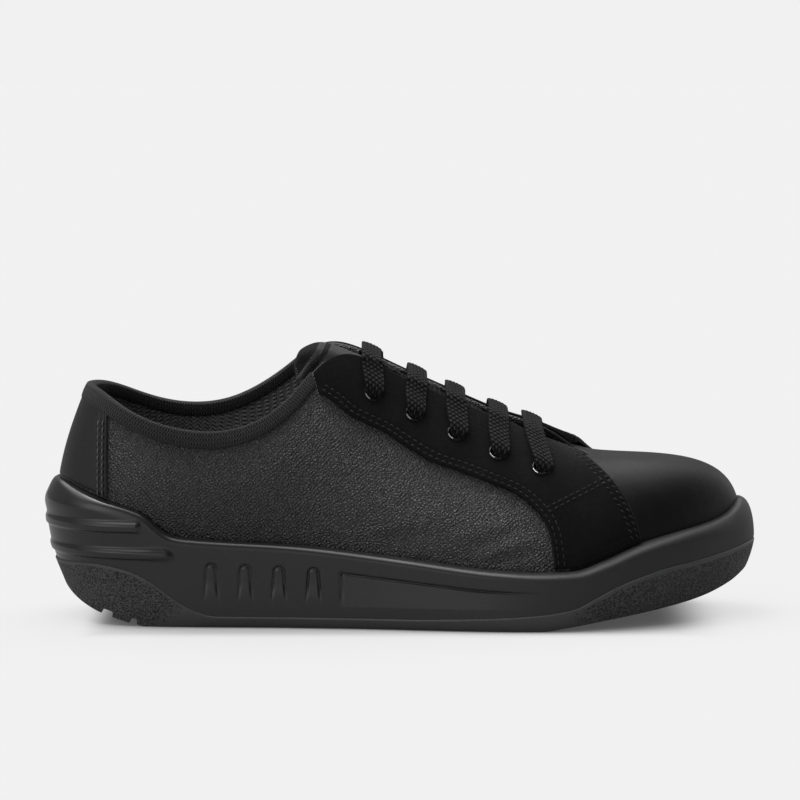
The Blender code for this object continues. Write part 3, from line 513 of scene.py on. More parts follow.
class Patch:
    """Points, faces and texture places of one piece, collected grid by grid."""

    def __init__(self) -> None:
        """Starts with nothing."""
        self.points: list[Array] = []
        self.places: list[Array] = []
        self.faces: list[Array] = []
        self.finishes: list[Array] = []
        self.count = 0

    def grid(
        self, points: Array, places: Array | None = None, wrap: bool = False, finish: Array | int = 0
    ) -> None:
        """Adds a sheet of quads.

        Args:
            points: Points in millimetres, shape (rows, columns, 3).
            places: Texture places in millimetres, shape (rows, columns, 2).
            wrap: Whether the last row is joined to the first.
            finish: Index of the finish, one for all or one for each quad.
        """
        rows, columns = points.shape[:2]
        index = self.count + np.arange(rows * columns).reshape(rows, columns)
        if wrap:
            index = np.vstack([index, index[:1]])
        quads = np.stack([index[:-1, :-1], index[:-1, 1:], index[1:, 1:], index[1:, :-1]], -1).reshape(-1, 4)
        places = np.zeros((rows, columns, 2)) if places is None else places
        self.points.append(points.reshape(-1, 3))
        self.places.append(places.reshape(-1, 2))
        self.faces.append(quads)
        one_for_all = np.ndim(finish) == 0
        self.finishes.append(np.broadcast_to(finish, len(quads)) if one_for_all else np.ravel(finish))
        self.count += rows * columns

    def drill(self, places: Sequence[Matrix]) -> None:
        """Takes out the faces round each eyelet's axis.

        Args:
            places: Frames whose origin and Z axis give the holes, in millimetres.
        """
        points, faces = np.concatenate(self.points), np.concatenate(self.faces)
        middles = points[faces].mean(axis=1)
        keep = np.ones(len(faces), bool)
        for place in places:
            origin, axis = np.array(place.translation), np.array(place.col[2][:3])
            along = (middles - origin) @ axis
            aside = np.linalg.norm(middles - origin - along[:, None] * axis, axis=1)
            keep &= (aside > HOLE_RADIUS) | (np.abs(along) > HOLE_REACH)
        self.faces = [faces[keep]]
        self.finishes = [np.concatenate(self.finishes)[keep]]

    def build(self, name: str, *materials: bpy.types.Material) -> bpy.types.Object:
        """Makes the piece's object and sets it on the shoe's body.

        Args:
            name: Name of the piece.
            materials: Finishes in the order of their index.

        Returns:
            The new object.
        """
        mesh = bpy.data.meshes.new(name)
        points = np.concatenate(self.points) * MM
        mesh.from_pydata(points.tolist(), [], np.concatenate(self.faces).tolist())
        corners = np.empty(len(mesh.loops), np.int32)
        mesh.loops.foreach_get("vertex_index", corners)
        layer = mesh.uv_layers.new(name="place")
        layer.data.foreach_set("uv", (np.concatenate(self.places)[corners] * MM).astype(np.float32).ravel())
        mesh.polygons.foreach_set("material_index", np.concatenate(self.finishes).astype(np.int32))
        shape = bmesh.new()
        shape.from_mesh(mesh)
        bmesh.ops.remove_doubles(shape, verts=shape.verts, dist=1e-6)
        loose = [vertex for vertex in shape.verts if not vertex.link_faces]
        bmesh.ops.delete(shape, geom=loose, context="VERTS")
        bmesh.ops.recalc_face_normals(shape, faces=shape.faces)
        shape.to_mesh(mesh)
        shape.free()
        mesh.shade_smooth()
        for material in materials:
            mesh.materials.append(material)
        piece = add_object(name, mesh)
        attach(piece, BODY)
        LOG.info("%s: %d faces", name, len(mesh.polygons))
        return piece


def add_object(name: str, data: bpy.types.ID) -> bpy.types.Object:
    """Object for a mesh or camera, linked into the scene.

    Args:
        name: Name of the object.
        data: Its mesh or camera.

    Returns:
        The new object.
    """
    thing = bpy.data.objects.new(name, data)
    bpy.context.scene.collection.objects.link(thing)
    return thing


def border_distance(grid: Array, top: bool = True) -> Array:
    """Distance of each point of a grid from the grid's border.

    Args:
        grid: Points, shape (rows, columns, 3).
        top: Whether the last row counts as border.

    Returns:
        Distances, shape (rows, columns).
    """
    sides = [grid[0], grid[:, 0], grid[:, -1]] + [grid[-1]] * top
    border = np.concatenate([smooth_line(side, 4 * len(side)) for side in sides])
    tree = KDTree(len(border))
    for i, point in enumerate(border):
        tree.insert(point, i)
    tree.balance()
    return np.array([tree.find(point)[2] for point in grid.reshape(-1, 3)]).reshape(grid.shape[:2])


class Graph:
    """Adds shader nodes to a tree and links them."""

    def __init__(self, tree: Tree) -> None:
        """Keeps the tree."""
        self.tree = tree

    def node(self, kind: str, inputs: dict | None = None, **settings: object) -> bpy.types.Node:
        """Adds a node.

        Args:
            kind: Type of the node.
            inputs: Values or sockets for its inputs, by name or index.
            settings: Values of its own properties.

        Returns:
            The new node.
        """
        node = self.tree.nodes.new(kind)
        for key, value in settings.items():
            setattr(node, key, value)
        for key, value in (inputs or {}).items():
            if isinstance(value, Socket):
                self.tree.links.new(value, node.inputs[key])
            else:
                node.inputs[key].default_value = value
        return node

    def math(self, operation: str, *values: Socket | float) -> Socket:
        """Result of a maths node."""
        return self.node("ShaderNodeMath", dict(enumerate(values)), operation=operation).outputs[0]

    def weigh(self, one: Socket, weight: float, other: Socket, other_weight: float) -> Socket:
        """Weighted sum of two values."""
        return self.math("MULTIPLY_ADD", one, weight, self.math("MULTIPLY", other, other_weight))

    def span(
        self, value: Socket, low: float, high: float, to_low: float = 0.0, to_high: float = 1.0
    ) -> Socket:
        """Value mapped softly from one range to another."""
        inputs = {"Value": value, "From Min": low, "From Max": high, "To Min": to_low, "To Max": to_high}
        return self.node("ShaderNodeMapRange", inputs, interpolation_type="SMOOTHSTEP").outputs["Result"]

    def mix(self, share: Socket, one: Colour, other: Colour) -> Socket:
        """Blend of two colours."""
        inputs = {0: share, 6: (*one, 1.0), 7: (*other, 1.0)}
        return self.node("ShaderNodeMix", inputs, data_type="RGBA").outputs[2]

    def noise(self, vector: Socket, scale: Socket | float, detail: float = 2.0) -> Socket:
        """Value of a noise texture."""
        inputs = {"Vector": vector, "Scale": scale, "Detail": detail, "Roughness": 0.55}
        return self.node("ShaderNodeTexNoise", inputs).outputs[0]

    def bend(self, place: Socket, vector: Socket, scale: float, reach: float) -> Socket:
        """Place moved about by a noise.

        Args:
            place: Place to be moved.
            vector: Place where the noise is read.
            scale: Scale of the noise.
            reach: Longest move, in metres.

        Returns:
            A socket with the moved place.
        """
        wander = self.node("ShaderNodeTexNoise", {"Vector": vector, "Scale": scale, "Detail": 2.0})
        shift = self.node("ShaderNodeVectorMath", {0: wander.outputs["Color"], 3: reach}, operation="SCALE")
        return self.node("ShaderNodeVectorMath", {0: place, 1: shift.outputs[0]}, operation="ADD").outputs[0]

    def group(self, tree: Tree, inputs: dict) -> Socket:
        """Output of a shared effect, placed with its own values."""
        return self.node("ShaderNodeGroup", inputs, node_tree=tree).outputs[0]


class Effects:
    """Shader effects that several finishes share, each built once."""

    def __init__(self) -> None:
        """Builds the effects."""
        self.grain = self._grain()
        self.tone = self._tone()
        self.weave = self._weave()
        self.nap = self._nap()

    @staticmethod
    def _start(name: str, vector: str, *values: str) -> tuple[Graph, bpy.types.bpy_prop_collection]:
        """Starts a group.

        Args:
            name: Name of the effect.
            vector: Name of its vector input.
            values: Names of its other inputs.

        Returns:
            The group's graph and its inputs.
        """
        graph = Graph(bpy.data.node_groups.new(name, "ShaderNodeTree"))
        for socket in (vector, *values):
            kind = "NodeSocketVector" if socket == vector else "NodeSocketFloat"
            graph.tree.interface.new_socket(socket, in_out="INPUT", socket_type=kind)
        return graph, graph.node("NodeGroupInput").outputs

    @staticmethod
    def _end(graph: Graph, name: str, value: Socket) -> Tree:
        """Ends a group.

        Args:
            graph: The group's graph.
            name: Name of its output.
            value: Value that it puts out.

        Returns:
            The group's tree.
        """
        graph.tree.interface.new_socket(name, in_out="OUTPUT", socket_type="NodeSocketFloat")
        graph.node("NodeGroupOutput", {name: value})
        return graph.tree

    def _grain(self) -> Tree:
        """Leather grain: cushions between fine valleys, with finer ones on top of them.

        Returns:
            The effect's tree.
        """
        graph, given = self._start("leather_grain", "Vector", "Cells", "Fine")
        bent = graph.bend(given["Vector"], given["Vector"], scale=260.0, reach=0.0011)
        heights = []
        for scale in (given["Cells"], graph.math("MULTIPLY", given["Cells"], 2.3)):
            inputs = {"Vector": bent, "Scale": scale}
            cells = graph.node("ShaderNodeTexVoronoi", inputs, feature="DISTANCE_TO_EDGE")
            heights.append(graph.span(cells.outputs["Distance"], low=0.0, high=0.32))
        cushions = graph.math("MULTIPLY_ADD", heights[1], given["Fine"], heights[0])
        uneven = graph.noise(given["Vector"], scale=1400.0)
        return self._end(graph, "Height", graph.math("MULTIPLY_ADD", uneven, 0.35, cushions))

    def _tone(self) -> Tree:
        """Slow patches of a lighter tone, broken up by a finer speckle.

        Returns:
            The effect's tree.
        """
        graph, given = self._start("tone_patches", "Vector", "Patch", "Speckle")
        slow = graph.span(graph.noise(given["Vector"], given["Patch"], detail=3.0), low=0.3, high=0.7)
        fast = graph.span(graph.noise(given["Vector"], given["Speckle"]), low=0.3, high=0.7)
        return self._end(graph, "Share", graph.weigh(slow, 0.6, fast, 0.4))

    def _weave(self) -> Tree:
        """Threads: ribs across the cloth's length, broken into over and under by crossing ones.

        Returns:
            The effect's tree.
        """
        graph, given = self._start("thread_weave", "Place", "Along", "Across", "Crossing")
        split = graph.node("ShaderNodeSeparateXYZ", {0: given["Place"]}).outputs
        waves = []
        for way, count in ((split["X"], given["Along"]), (split["Y"], given["Across"])):
            turns = graph.math("MULTIPLY", graph.math("MULTIPLY", way, count), 2 * math.pi)
            waves.append(graph.math("SINE", turns))
        part = graph.math("MULTIPLY", graph.math("MULTIPLY", *waves), given["Crossing"])
        rest = graph.math("MULTIPLY", waves[0], graph.math("SUBTRACT", 1.0, given["Crossing"]))
        threads = graph.math("MULTIPLY_ADD", graph.math("ADD", part, rest), 0.5, 0.5)
        return self._end(graph, "Height", threads)

    def _nap(self) -> Tree:
        """Short fibres: two sizes of fine noise.

        Returns:
            The effect's tree.
        """
        graph, given = self._start("fibre_nap", "Vector", "Fibre")
        coarse = graph.noise(given["Vector"], given["Fibre"], detail=4.0)
        fine = graph.noise(given["Vector"], graph.math("MULTIPLY", given["Fibre"], 3.1), detail=3.0)
        return self._end(graph, "Height", graph.weigh(coarse, 0.6, fine, 0.4))


@dataclass(frozen=True)
class Ground:
    """What a relief is made from: a material's graph, the shared effects, and two places in metres.

    The vector is the place in the shoe, the place that on the piece's own sheet.
    """

    graph: Graph
    effects: Effects
    vector: Socket
    place: Socket

    def nap(self, fibre: float) -> Socket:
        """Height of short fibres."""
        return self.graph.group(self.effects.nap, {"Vector": self.vector, "Fibre": fibre})


@dataclass(frozen=True)
class Finish:
    """Finish of a surface: two tones, a gloss and a relief, which is a nap of short fibres by default; the
    tone partly follows the relief, as painted shade in its hollows and lighter tops.
    """

    name: str
    dark: Colour
    light: Colour
    roughness: float
    spread: float = 0.12
    depth: float = 0.1
    specular: float = 0.5
    sheen: float = 0.0
    sheen_roughness: float = 0.5
    metallic: float = 0.0
    patch: float = 45.0
    speckle: float = 700.0
    relief_shade: float = 0.5
    tone_low: float = 0.0
    tone_high: float = 1.0
    toe_dull: float = 0.0
    dull_span: Pair = (10.0, 85.0)
    fibre: float = 900.0

    def relief(self, ground: Ground) -> Socket:
        """Height of the surface's detail, about 0 to 1."""
        return ground.nap(self.fibre)

    def make(self, effects: Effects) -> bpy.types.Material:
        """Builds the material.

        Args:
            effects: The shared effects.

        Returns:
            The new material.
        """
        material = bpy.data.materials.new(self.name)
        material.use_nodes = True
        graph = Graph(material.node_tree)
        shader = material.node_tree.nodes["Principled BSDF"]
        coordinates = graph.node("ShaderNodeTexCoord")
        vector, place = coordinates.outputs["Object"], coordinates.outputs["UV"]
        height = self.relief(Ground(graph, effects, vector, place))
        inputs = {"Vector": vector, "Patch": self.patch, "Speckle": self.speckle}
        patches = graph.group(effects.tone, inputs)
        # Tone follows the relief's height: hollows painted darker and tops lighter, a painted shade of the
        # relief, blended with random patches of the material's own tone.
        painted_relief_shade = graph.span(height, self.tone_low, self.tone_high)
        share = graph.weigh(patches, 1 - self.relief_shade, painted_relief_shade, self.relief_shade)
        bump = graph.node("ShaderNodeBump", {"Height": height, "Strength": 1.0, "Distance": self.depth * MM})
        rough = graph.math("MULTIPLY_ADD", patches, -self.spread, self.roughness + self.spread / 2)
        if self.toe_dull:
            along = graph.node("ShaderNodeSeparateXYZ", {0: vector}).outputs["X"]
            low, high = (x * MM for x in self.dull_span)
            rough = graph.math("ADD", rough, graph.span(along, low, high, 0.0, self.toe_dull))
        links = {
            "Base Color": graph.mix(share, self.dark, self.light),
            "Roughness": rough,
            "Normal": bump.outputs["Normal"],
        }
        for name, socket in links.items():
            material.node_tree.links.new(socket, shader.inputs[name])
        plain = {
            "Specular IOR Level": self.specular, "Metallic": self.metallic,
            "Sheen Weight": self.sheen, "Sheen Roughness": self.sheen_roughness,
        }
        for name, value in plain.items():
            shader.inputs[name].default_value = value
        return material


@dataclass(frozen=True)
class Leather(Finish):
    """Leather with a grain of its own size, printed with a lattice of pebbles where it has a lattice."""

    cells: float = 900.0
    fine: float = 0.35
    lattice: float = 0.0
    plain_weight: float = 0.65
    grain_weight: float = 0.42
    pebble_weight: float = 0.48

    def relief(self, ground: Ground) -> Socket:
        """Cushions and valleys of the grain.

        Args:
            ground: What the relief is made from.

        Returns:
            A socket with the height.
        """
        graph, effects, vector = ground.graph, ground.effects, ground.vector
        grain = graph.group(effects.grain, {"Vector": vector, "Cells": self.cells, "Fine": self.fine})
        if not self.lattice:
            return graph.math("MULTIPLY", grain, self.plain_weight)
        bent = graph.bend(ground.place, vector, scale=330.0, reach=0.0026)
        inputs = {"Place": bent, "Along": self.lattice, "Across": self.lattice, "Crossing": 1.0}
        return graph.weigh(grain, self.grain_weight, graph.group(effects.weave, inputs), self.pebble_weight)


@dataclass(frozen=True)
class Woven(Finish):
    """Cloth of threads, with the threads' number in a metre along and across it."""

    along: float = 900.0
    across: float = 900.0
    crossing: float = 1.0
    zigzag: float = 0.0
    zigzag_pitch: float = 100.0
    fibre: float = 2200.0
    fibre_weight: float = 0.35
    thread_weight: float = 0.75

    def relief(self, ground: Ground) -> Socket:
        """Threads and their fibres.

        Args:
            ground: What the relief is made from.

        Returns:
            A socket with the height.
        """
        graph, place = ground.graph, ground.place
        if self.zigzag:
            split = graph.node("ShaderNodeSeparateXYZ", {0: place}).outputs
            wave = graph.math("PINGPONG", graph.math("MULTIPLY", split["X"], self.zigzag_pitch), 0.5)
            bent = graph.math("MULTIPLY_ADD", wave, self.zigzag, split["Y"])
            place = graph.node("ShaderNodeCombineXYZ", {0: bent, 1: split["X"]}).outputs[0]
        inputs = {"Place": place, "Along": self.along, "Across": self.across, "Crossing": self.crossing}
        threads = graph.group(ground.effects.weave, inputs)
        return graph.weigh(ground.nap(self.fibre), self.fibre_weight, threads, self.thread_weight)


@dataclass(frozen=True)
class Braid(Finish):
    """Flat braided lace: columns of knuckles, each half a step on from its neighbour."""

    width: float = 8.5
    columns: int = 6
    pitch: float = 2.1
    sharpness: float = 1.5
    fibre: float = 2400.0
    fibre_weight: float = 0.3
    thread_weight: float = 0.8

    def relief(self, ground: Ground) -> Socket:
        """Knuckles and fibres of the threads.

        Args:
            ground: What the relief is made from.

        Returns:
            A socket with the height.
        """
        graph = ground.graph
        split = graph.node("ShaderNodeSeparateXYZ", {0: ground.place}).outputs
        columns = self.columns / (self.width * MM)
        lane = graph.math("MULTIPLY_ADD", split["Y"], columns, self.columns / 2)
        ridge = graph.math("ABSOLUTE", graph.math("SINE", graph.math("MULTIPLY", lane, math.pi)))
        ridge = graph.math("POWER", ridge, self.sharpness)
        turn = graph.math("MULTIPLY", graph.math("FLOOR", lane), math.pi)
        wave = graph.math("MULTIPLY_ADD", split["X"], 2 * math.pi / (self.pitch * MM), turn)
        knuckle = graph.math("MULTIPLY_ADD", graph.math("COSINE", wave), 0.45, 0.55)
        threads = graph.math("MULTIPLY", ridge, knuckle)
        return graph.weigh(ground.nap(self.fibre), self.fibre_weight, threads, self.thread_weight)


@dataclass(frozen=True)
class Moulded(Finish):
    """Moulded sole: nearly smooth, or stippled like sandpaper."""

    stipple: float = 1500.0
    cells: float = 700.0
    stipple_weight: float = 0.6
    cell_weight: float = 0.6

    def relief(self, ground: Ground) -> Socket:
        """Stipple of the mould.

        Args:
            ground: What the relief is made from.

        Returns:
            A socket with the height.
        """
        graph = ground.graph
        dots = graph.node("ShaderNodeTexVoronoi", {"Vector": ground.vector, "Scale": self.cells})
        grit = graph.noise(ground.vector, self.stipple, detail=3.0)
        return graph.weigh(grit, self.stipple_weight, dots.outputs["Distance"], self.cell_weight)


class Finishes:
    """Every finish of the shoe, as Blender materials."""

    def __init__(self) -> None:
        """Makes the materials."""
        effects = Effects()
        made = [
            Leather("pebbled_leather", (0.0024, 0.0023, 0.0026), (0.0500, 0.0472, 0.0530), 0.33, 0.10, 0.60,
                    specular=0.7, cells=840.0, fine=0.3, lattice=600.0, relief_shade=0.85, tone_low=0.30,
                    tone_high=0.95),
            Leather("smooth_leather", (0.0022, 0.0020, 0.0022), (0.0045, 0.0040, 0.0044), 0.47, 0.10, 0.05,
                    specular=0.27, cells=1700.0, fine=0.3, relief_shade=0.25),
            Leather("counter_leather", (0.0030, 0.0027, 0.0029), (0.0062, 0.0056, 0.0059), 0.46, 0.10, 0.06,
                    cells=1700.0, fine=0.3, relief_shade=0.25),
            Finish("suede", (0.0026, 0.0023, 0.0024), (0.0115, 0.0104, 0.0107), 0.95, 0.06, 0.40,
                   specular=0.14, sheen=0.10, sheen_roughness=0.4, fibre=900.0, patch=70.0, relief_shade=0.6),
            Woven("ribbed_tape", (0.0005, 0.0005, 0.0005), (0.052, 0.0500, 0.0510), 0.75, 0.1, 0.90,
                  specular=0.3, sheen=0.03, along=900.0, across=560.0, crossing=0.65, relief_shade=0.95,
                  tone_low=0.25, tone_high=0.9),
            # Darker cloth, also used as painted shade in the tongue's groove.
            Woven("dark_cloth_and_groove_shade", (0.0020, 0.0020, 0.0020), (0.0130, 0.0128, 0.0128), 0.9, 0.06, 0.5,
                  specular=0.2, along=980.0, across=700.0, crossing=0.6, relief_shade=0.8),
            Woven("knit_lining", (0.0040, 0.0038, 0.0038), (0.260, 0.2540, 0.2550), 0.9, 0.08, 0.8,
                  specular=0.3, sheen=0.1, along=620.0, across=300.0, crossing=0.3, zigzag=0.0034,
                  zigzag_pitch=310.0, relief_shade=0.92),
            Woven("tongue_fabric", (0.008, 0.008, 0.0082), (0.046, 0.046, 0.0465), 0.95, 0.06, 0.35,
                  specular=0.2, sheen=0.2, along=900.0, across=900.0, relief_shade=0.65),
            Braid("lace_weave", (0.0003, 0.0003, 0.0003), (0.0300, 0.0295, 0.0300), 0.70, 0.1, 1.0,
                  specular=0.15, sheen=0.03, relief_shade=0.97, tone_low=0.32, tone_high=0.95),
            Moulded("moulded_sole", (0.0185, 0.0185, 0.0200), (0.0225, 0.0225, 0.0242), 0.21, 0.04, 0.003,
                    stipple=900.0, cells=500.0, relief_shade=0.2, patch=25.0, toe_dull=0.36),
            Moulded("smooth_rubber", (0.0480, 0.0480, 0.0500), (0.0620, 0.0620, 0.0645), 0.5, 0.06, 0.02,
                    stipple=1100.0, cells=600.0, relief_shade=0.3, patch=25.0),
            Moulded("rough_rubber", (0.0015, 0.0015, 0.0016), (0.090, 0.0880, 0.0920), 0.7, 0.1, 1.1,
                    specular=0.4, stipple=1250.0, cells=1350.0, relief_shade=0.95, tone_low=0.28,
                    tone_high=0.80),
            Moulded("black_enamel", (0.0012, 0.0012, 0.0012), (0.0022, 0.0022, 0.0022), 0.14, 0.04, 0.002,
                    specular=0.35, relief_shade=0.2),
            # Bright metal for the eyelets' painted glint.
            Moulded("painted_glint_lip", (0.80, 0.80, 0.80), (0.90, 0.90, 0.90), 0.20, 0.04, 0.002,
                    metallic=1.0, relief_shade=0.2),
            Finish("pale_thread", (0.060, 0.060, 0.060), (0.180, 0.180, 0.180), 0.5, 0.1, 0.05, fibre=2600.0),
            Finish("waxed_thread", (0.002, 0.002, 0.002), (0.012, 0.012, 0.012), 0.6, 0.1, 0.3, fibre=700.0,
                   relief_shade=0.9),
            Woven("footbed_fabric", (0.006, 0.006, 0.0063), (0.020, 0.020, 0.0207), 0.95, 0.05, 0.2,
                  specular=0.2, along=650.0, across=650.0, relief_shade=0.6),
        ]
        self.by_name = {finish.name: finish.make(effects) for finish in made}

    def __getitem__(self, name: str) -> bpy.types.Material:
        """Material of a finish."""
        return self.by_name[name]


@dataclass
class Stitching:
    """Rows of sewn thread."""

    pitch: float = 2.7
    length: float = 2.1
    thick: float = 0.55
    bow: float = 0.45
    sink: float = 0.15
    tip: float = 0.03
    rings: int = 7
    sides: int = 6

    def sew(self, patch: Patch, path: Array, normals: Array, slant: float = 0.0) -> None:
        """Adds one row of stitches.

        Args:
            patch: Patch that takes the stitches.
            path: Line of the seam on the panel's face.
            normals: The face's normals along it.
            slant: Angle of the stitches to the line, in degrees.
        """
        straight, aslant = math.cos(math.radians(slant)), math.sin(math.radians(slant))
        line = even_line(np.concatenate([path, normals], axis=1), self.pitch / 6, smooth=6)
        run = lengths(line[:, :3])
        turns = np.linspace(0, 2 * math.pi, self.sides + 1)
        along = np.linspace(-0.5, 0.5, self.rings)
        bulge = 1 - (2 * along) ** 2
        swell = np.sqrt(np.maximum(bulge, self.tip)) * self.thick / 2
        lift = (bulge * self.bow - self.sink) * self.thick
        for place in np.arange(self.pitch / 2, run[-1] - self.pitch / 2, self.pitch):
            places = place + along * self.length
            rows = np.stack([np.interp(places, run, column) for column in line.T], -1)
            centre, normal = rows[:, :3], unit(rows[:, 3:])
            forward = unit(np.gradient(centre, axis=0))
            aside = unit(np.cross(normal, forward))
            middle = centre[len(centre) // 2]
            turned = (centre - middle) * straight + aside * (along * self.length * aslant)[:, None]
            aside = aside * straight - forward * aslant
            centre = middle + turned + normal * lift[:, None]
            patch.grid(centre[:, None] + round_about(aside, normal, turns) * swell[:, None, None])


@dataclass(frozen=True)
class Crease:
    """Soft trough in the leather with a ridge on each side, from one side point to another."""

    start: Pair
    end: Pair
    width: float
    depth: float
    ridge: float = 0.45
    ridge_at: float = 1.9
    fade: float = 0.7

    def relief(self, points: Array) -> Array:
        """Outward move of each point.

        Args:
            points: Points of the upper, on the last axis.

        Returns:
            Distances, negative in the trough.
        """
        side = points[..., [0, 2]]
        start, end = np.array(self.start), np.array(self.end)
        way = end - start
        share = np.clip(((side - start) @ way) / (way @ way), 0, 1)
        aside = np.linalg.norm(side - start - share[..., None] * way, axis=-1) / self.width
        fade = np.sin(np.pi * np.clip(share, 0.02, 0.98)) ** self.fade
        trough = self.ridge * hump(aside, self.ridge_at, 1.0) - hump(aside, 0.0, 1.0)
        return self.depth * fade * trough


@dataclass
class Upper:
    """Leather shell of vamp and quarters with its lining, and the tape round its collar."""

    last: Last
    finishes: Finishes
    columns: int = 400
    hidden_rows: tuple[float, ...] = (0.0, 0.5, 0.85)
    outer_rows: int = 84
    edge_rows: int = 4
    inner_rows: int = 36
    edge_bulge: float = 0.6
    binding_width: float = 5.8
    tape_columns: int = 520
    tape_shares: tuple[float, ...] = (0.0, 0.02, 0.06, 0.12, 0.25, 0.4, 0.55, 0.7, 0.85, 1.0)
    tape_turns: int = 10
    tape_foot: float = 0.12
    tape_swell: float = 0.25
    tape_lift: float = 0.2
    tape_end: float = 0.04
    tape_gap: float = 0.2
    tape_thick: float = 0.8
    tape_crown: float = 1.0
    tape_inside: float = 4.4
    creases: tuple[Crease, ...] = (
        Crease((92.5, 53.0), (97.0, 39.0), 1.3, 0.30),
        Crease((96.5, 52.0), (101.5, 38.5), 1.2, 0.28),
        Crease((100.5, 49.5), (105.5, 37.5), 1.2, 0.24),
        Crease((104.5, 46.5), (110.0, 37.5), 1.1, 0.20),
        Crease((24.0, 30.0), (52.0, 40.0), 2.6, 0.40),
        Crease((34.0, 26.0), (54.0, 31.0), 2.2, 0.32),
        Crease((-12.0, 33.0), (18.0, 37.0), 3.2, 0.28),
        Crease((-108.0, 56.0), (-97.0, 71.0), 3.0, 0.26),
    )

    def build(self, holes: Sequence[Matrix], tape_reach: float, vamp_ring: float) -> None:
        """Builds the shell and the tape; the arguments are those of the two methods."""
        self._shell(holes, vamp_ring)
        self._tape(tape_reach)

    def _shell(self, holes: Sequence[Matrix], vamp_ring: float) -> None:
        """Outer face, cut edge and lining as one closed skin.

        Args:
            holes: Frames of the eyelets.
            vamp_ring: Ring share where the vamp's leather starts on the outer side.
        """
        last = self.last
        k = np.linspace(0, TURN, self.columns + 1)
        rim = last.rim_share(k)
        low = rim * np.array(self.hidden_rows)[:, None]
        high = rim + (1 - rim) * np.linspace(0, 1, self.outer_rows)[:, None]
        outer = np.concatenate([low, high])
        move = sum(crease.relief(last.meridian(k, outer)) for crease in self.creases)
        face = last.skin(k, outer, move)
        lining = last.skin(k, np.linspace(1, 0, self.inner_rows)[:, None], -last.wall_thick)
        top = np.ones_like(k)
        upward = unit(last.ways(k, top)[1])
        half = last.wall_thick / 2
        edge = np.stack([
            last.skin(k, top, half * (math.cos(a) - 1)) + upward * half * self.edge_bulge * math.sin(a)
            for a in np.linspace(0, math.pi, self.edge_rows + 2)[1:-1]
        ])
        points = np.concatenate([face, edge, lining])
        around = lengths(points[-1 - self.inner_rows // 2])
        middle = (k[:-1] + k[1:]) / 2
        vamp = (middle > vamp_ring) & (middle < TURN - vamp_ring)
        finish = np.where(vamp, 1, 0)[None, :].repeat(len(points), axis=0)
        finish[len(face) + len(edge) - 1:] = 2
        patch = Patch()
        patch.grid(points, sheet(around, lengths(points)), wrap=True, finish=finish)
        patch.drill(holes)
        names = ("pebbled_leather", "smooth_leather", "knit_lining")
        shell = patch.build("upper_shell", *(self.finishes[name] for name in names))
        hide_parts("upper")

    def _tape(self, reach: float) -> None:
        """Tape folded over the collar's edge.

        Args:
            reach: Ring share where the tape ends on the outer side.
        """
        last = self.last
        k = np.linspace(-reach + self.tape_end, reach - self.tape_end, self.tape_columns)
        top = np.ones_like(k)
        upward = unit(last.ways(k, top)[1])
        near, far, wall = self.tape_gap, self.tape_gap + self.tape_thick, last.wall_thick

        def leg(width: float, base: float, sign: float) -> list[Array]:
            """Face of the tape from its foot to the collar's edge, rounded at the foot.

            Args:
                width: Distance of the foot from the collar's edge.
                base: Offset of the face that the tape lies on.
                sign: Side of that face, 1 outside and -1 inside.

            Returns:
                Rows of points.
            """
            foot = last.share_below(k, width)
            rows = []
            for share in self.tape_shares:
                puff = math.sqrt(max(0.0, 1 - (1 - min(1.0, share / self.tape_foot)) ** 2))
                swell = self.tape_swell * math.sin(math.pi * share)
                offset = base + sign * (near + (far - near) * puff + swell)
                row = last.skin(k, foot + (top - foot) * share, offset)
                rows.append(row + upward * self.tape_lift * share)
            return rows

        fold = []
        for a in np.linspace(0, math.pi, self.tape_turns + 2)[1:-1]:
            row = last.skin(k, top, -wall / 2 + (wall / 2 + far) * math.cos(a))
            fold.append(row + upward * (self.tape_lift + self.tape_crown * math.sin(a)))
        inside = leg(self.tape_inside, -wall, -1.0)
        points = np.stack(leg(self.binding_width, 0.0, 1.0) + fold + inside[::-1])
        around = lengths(points[len(points) // 2])
        patch = Patch()
        patch.grid(points, sheet(around, lengths(points)), wrap=True)
        tape = patch.build("collar_tape", self.finishes["ribbed_tape"])
        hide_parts("collar_binding")


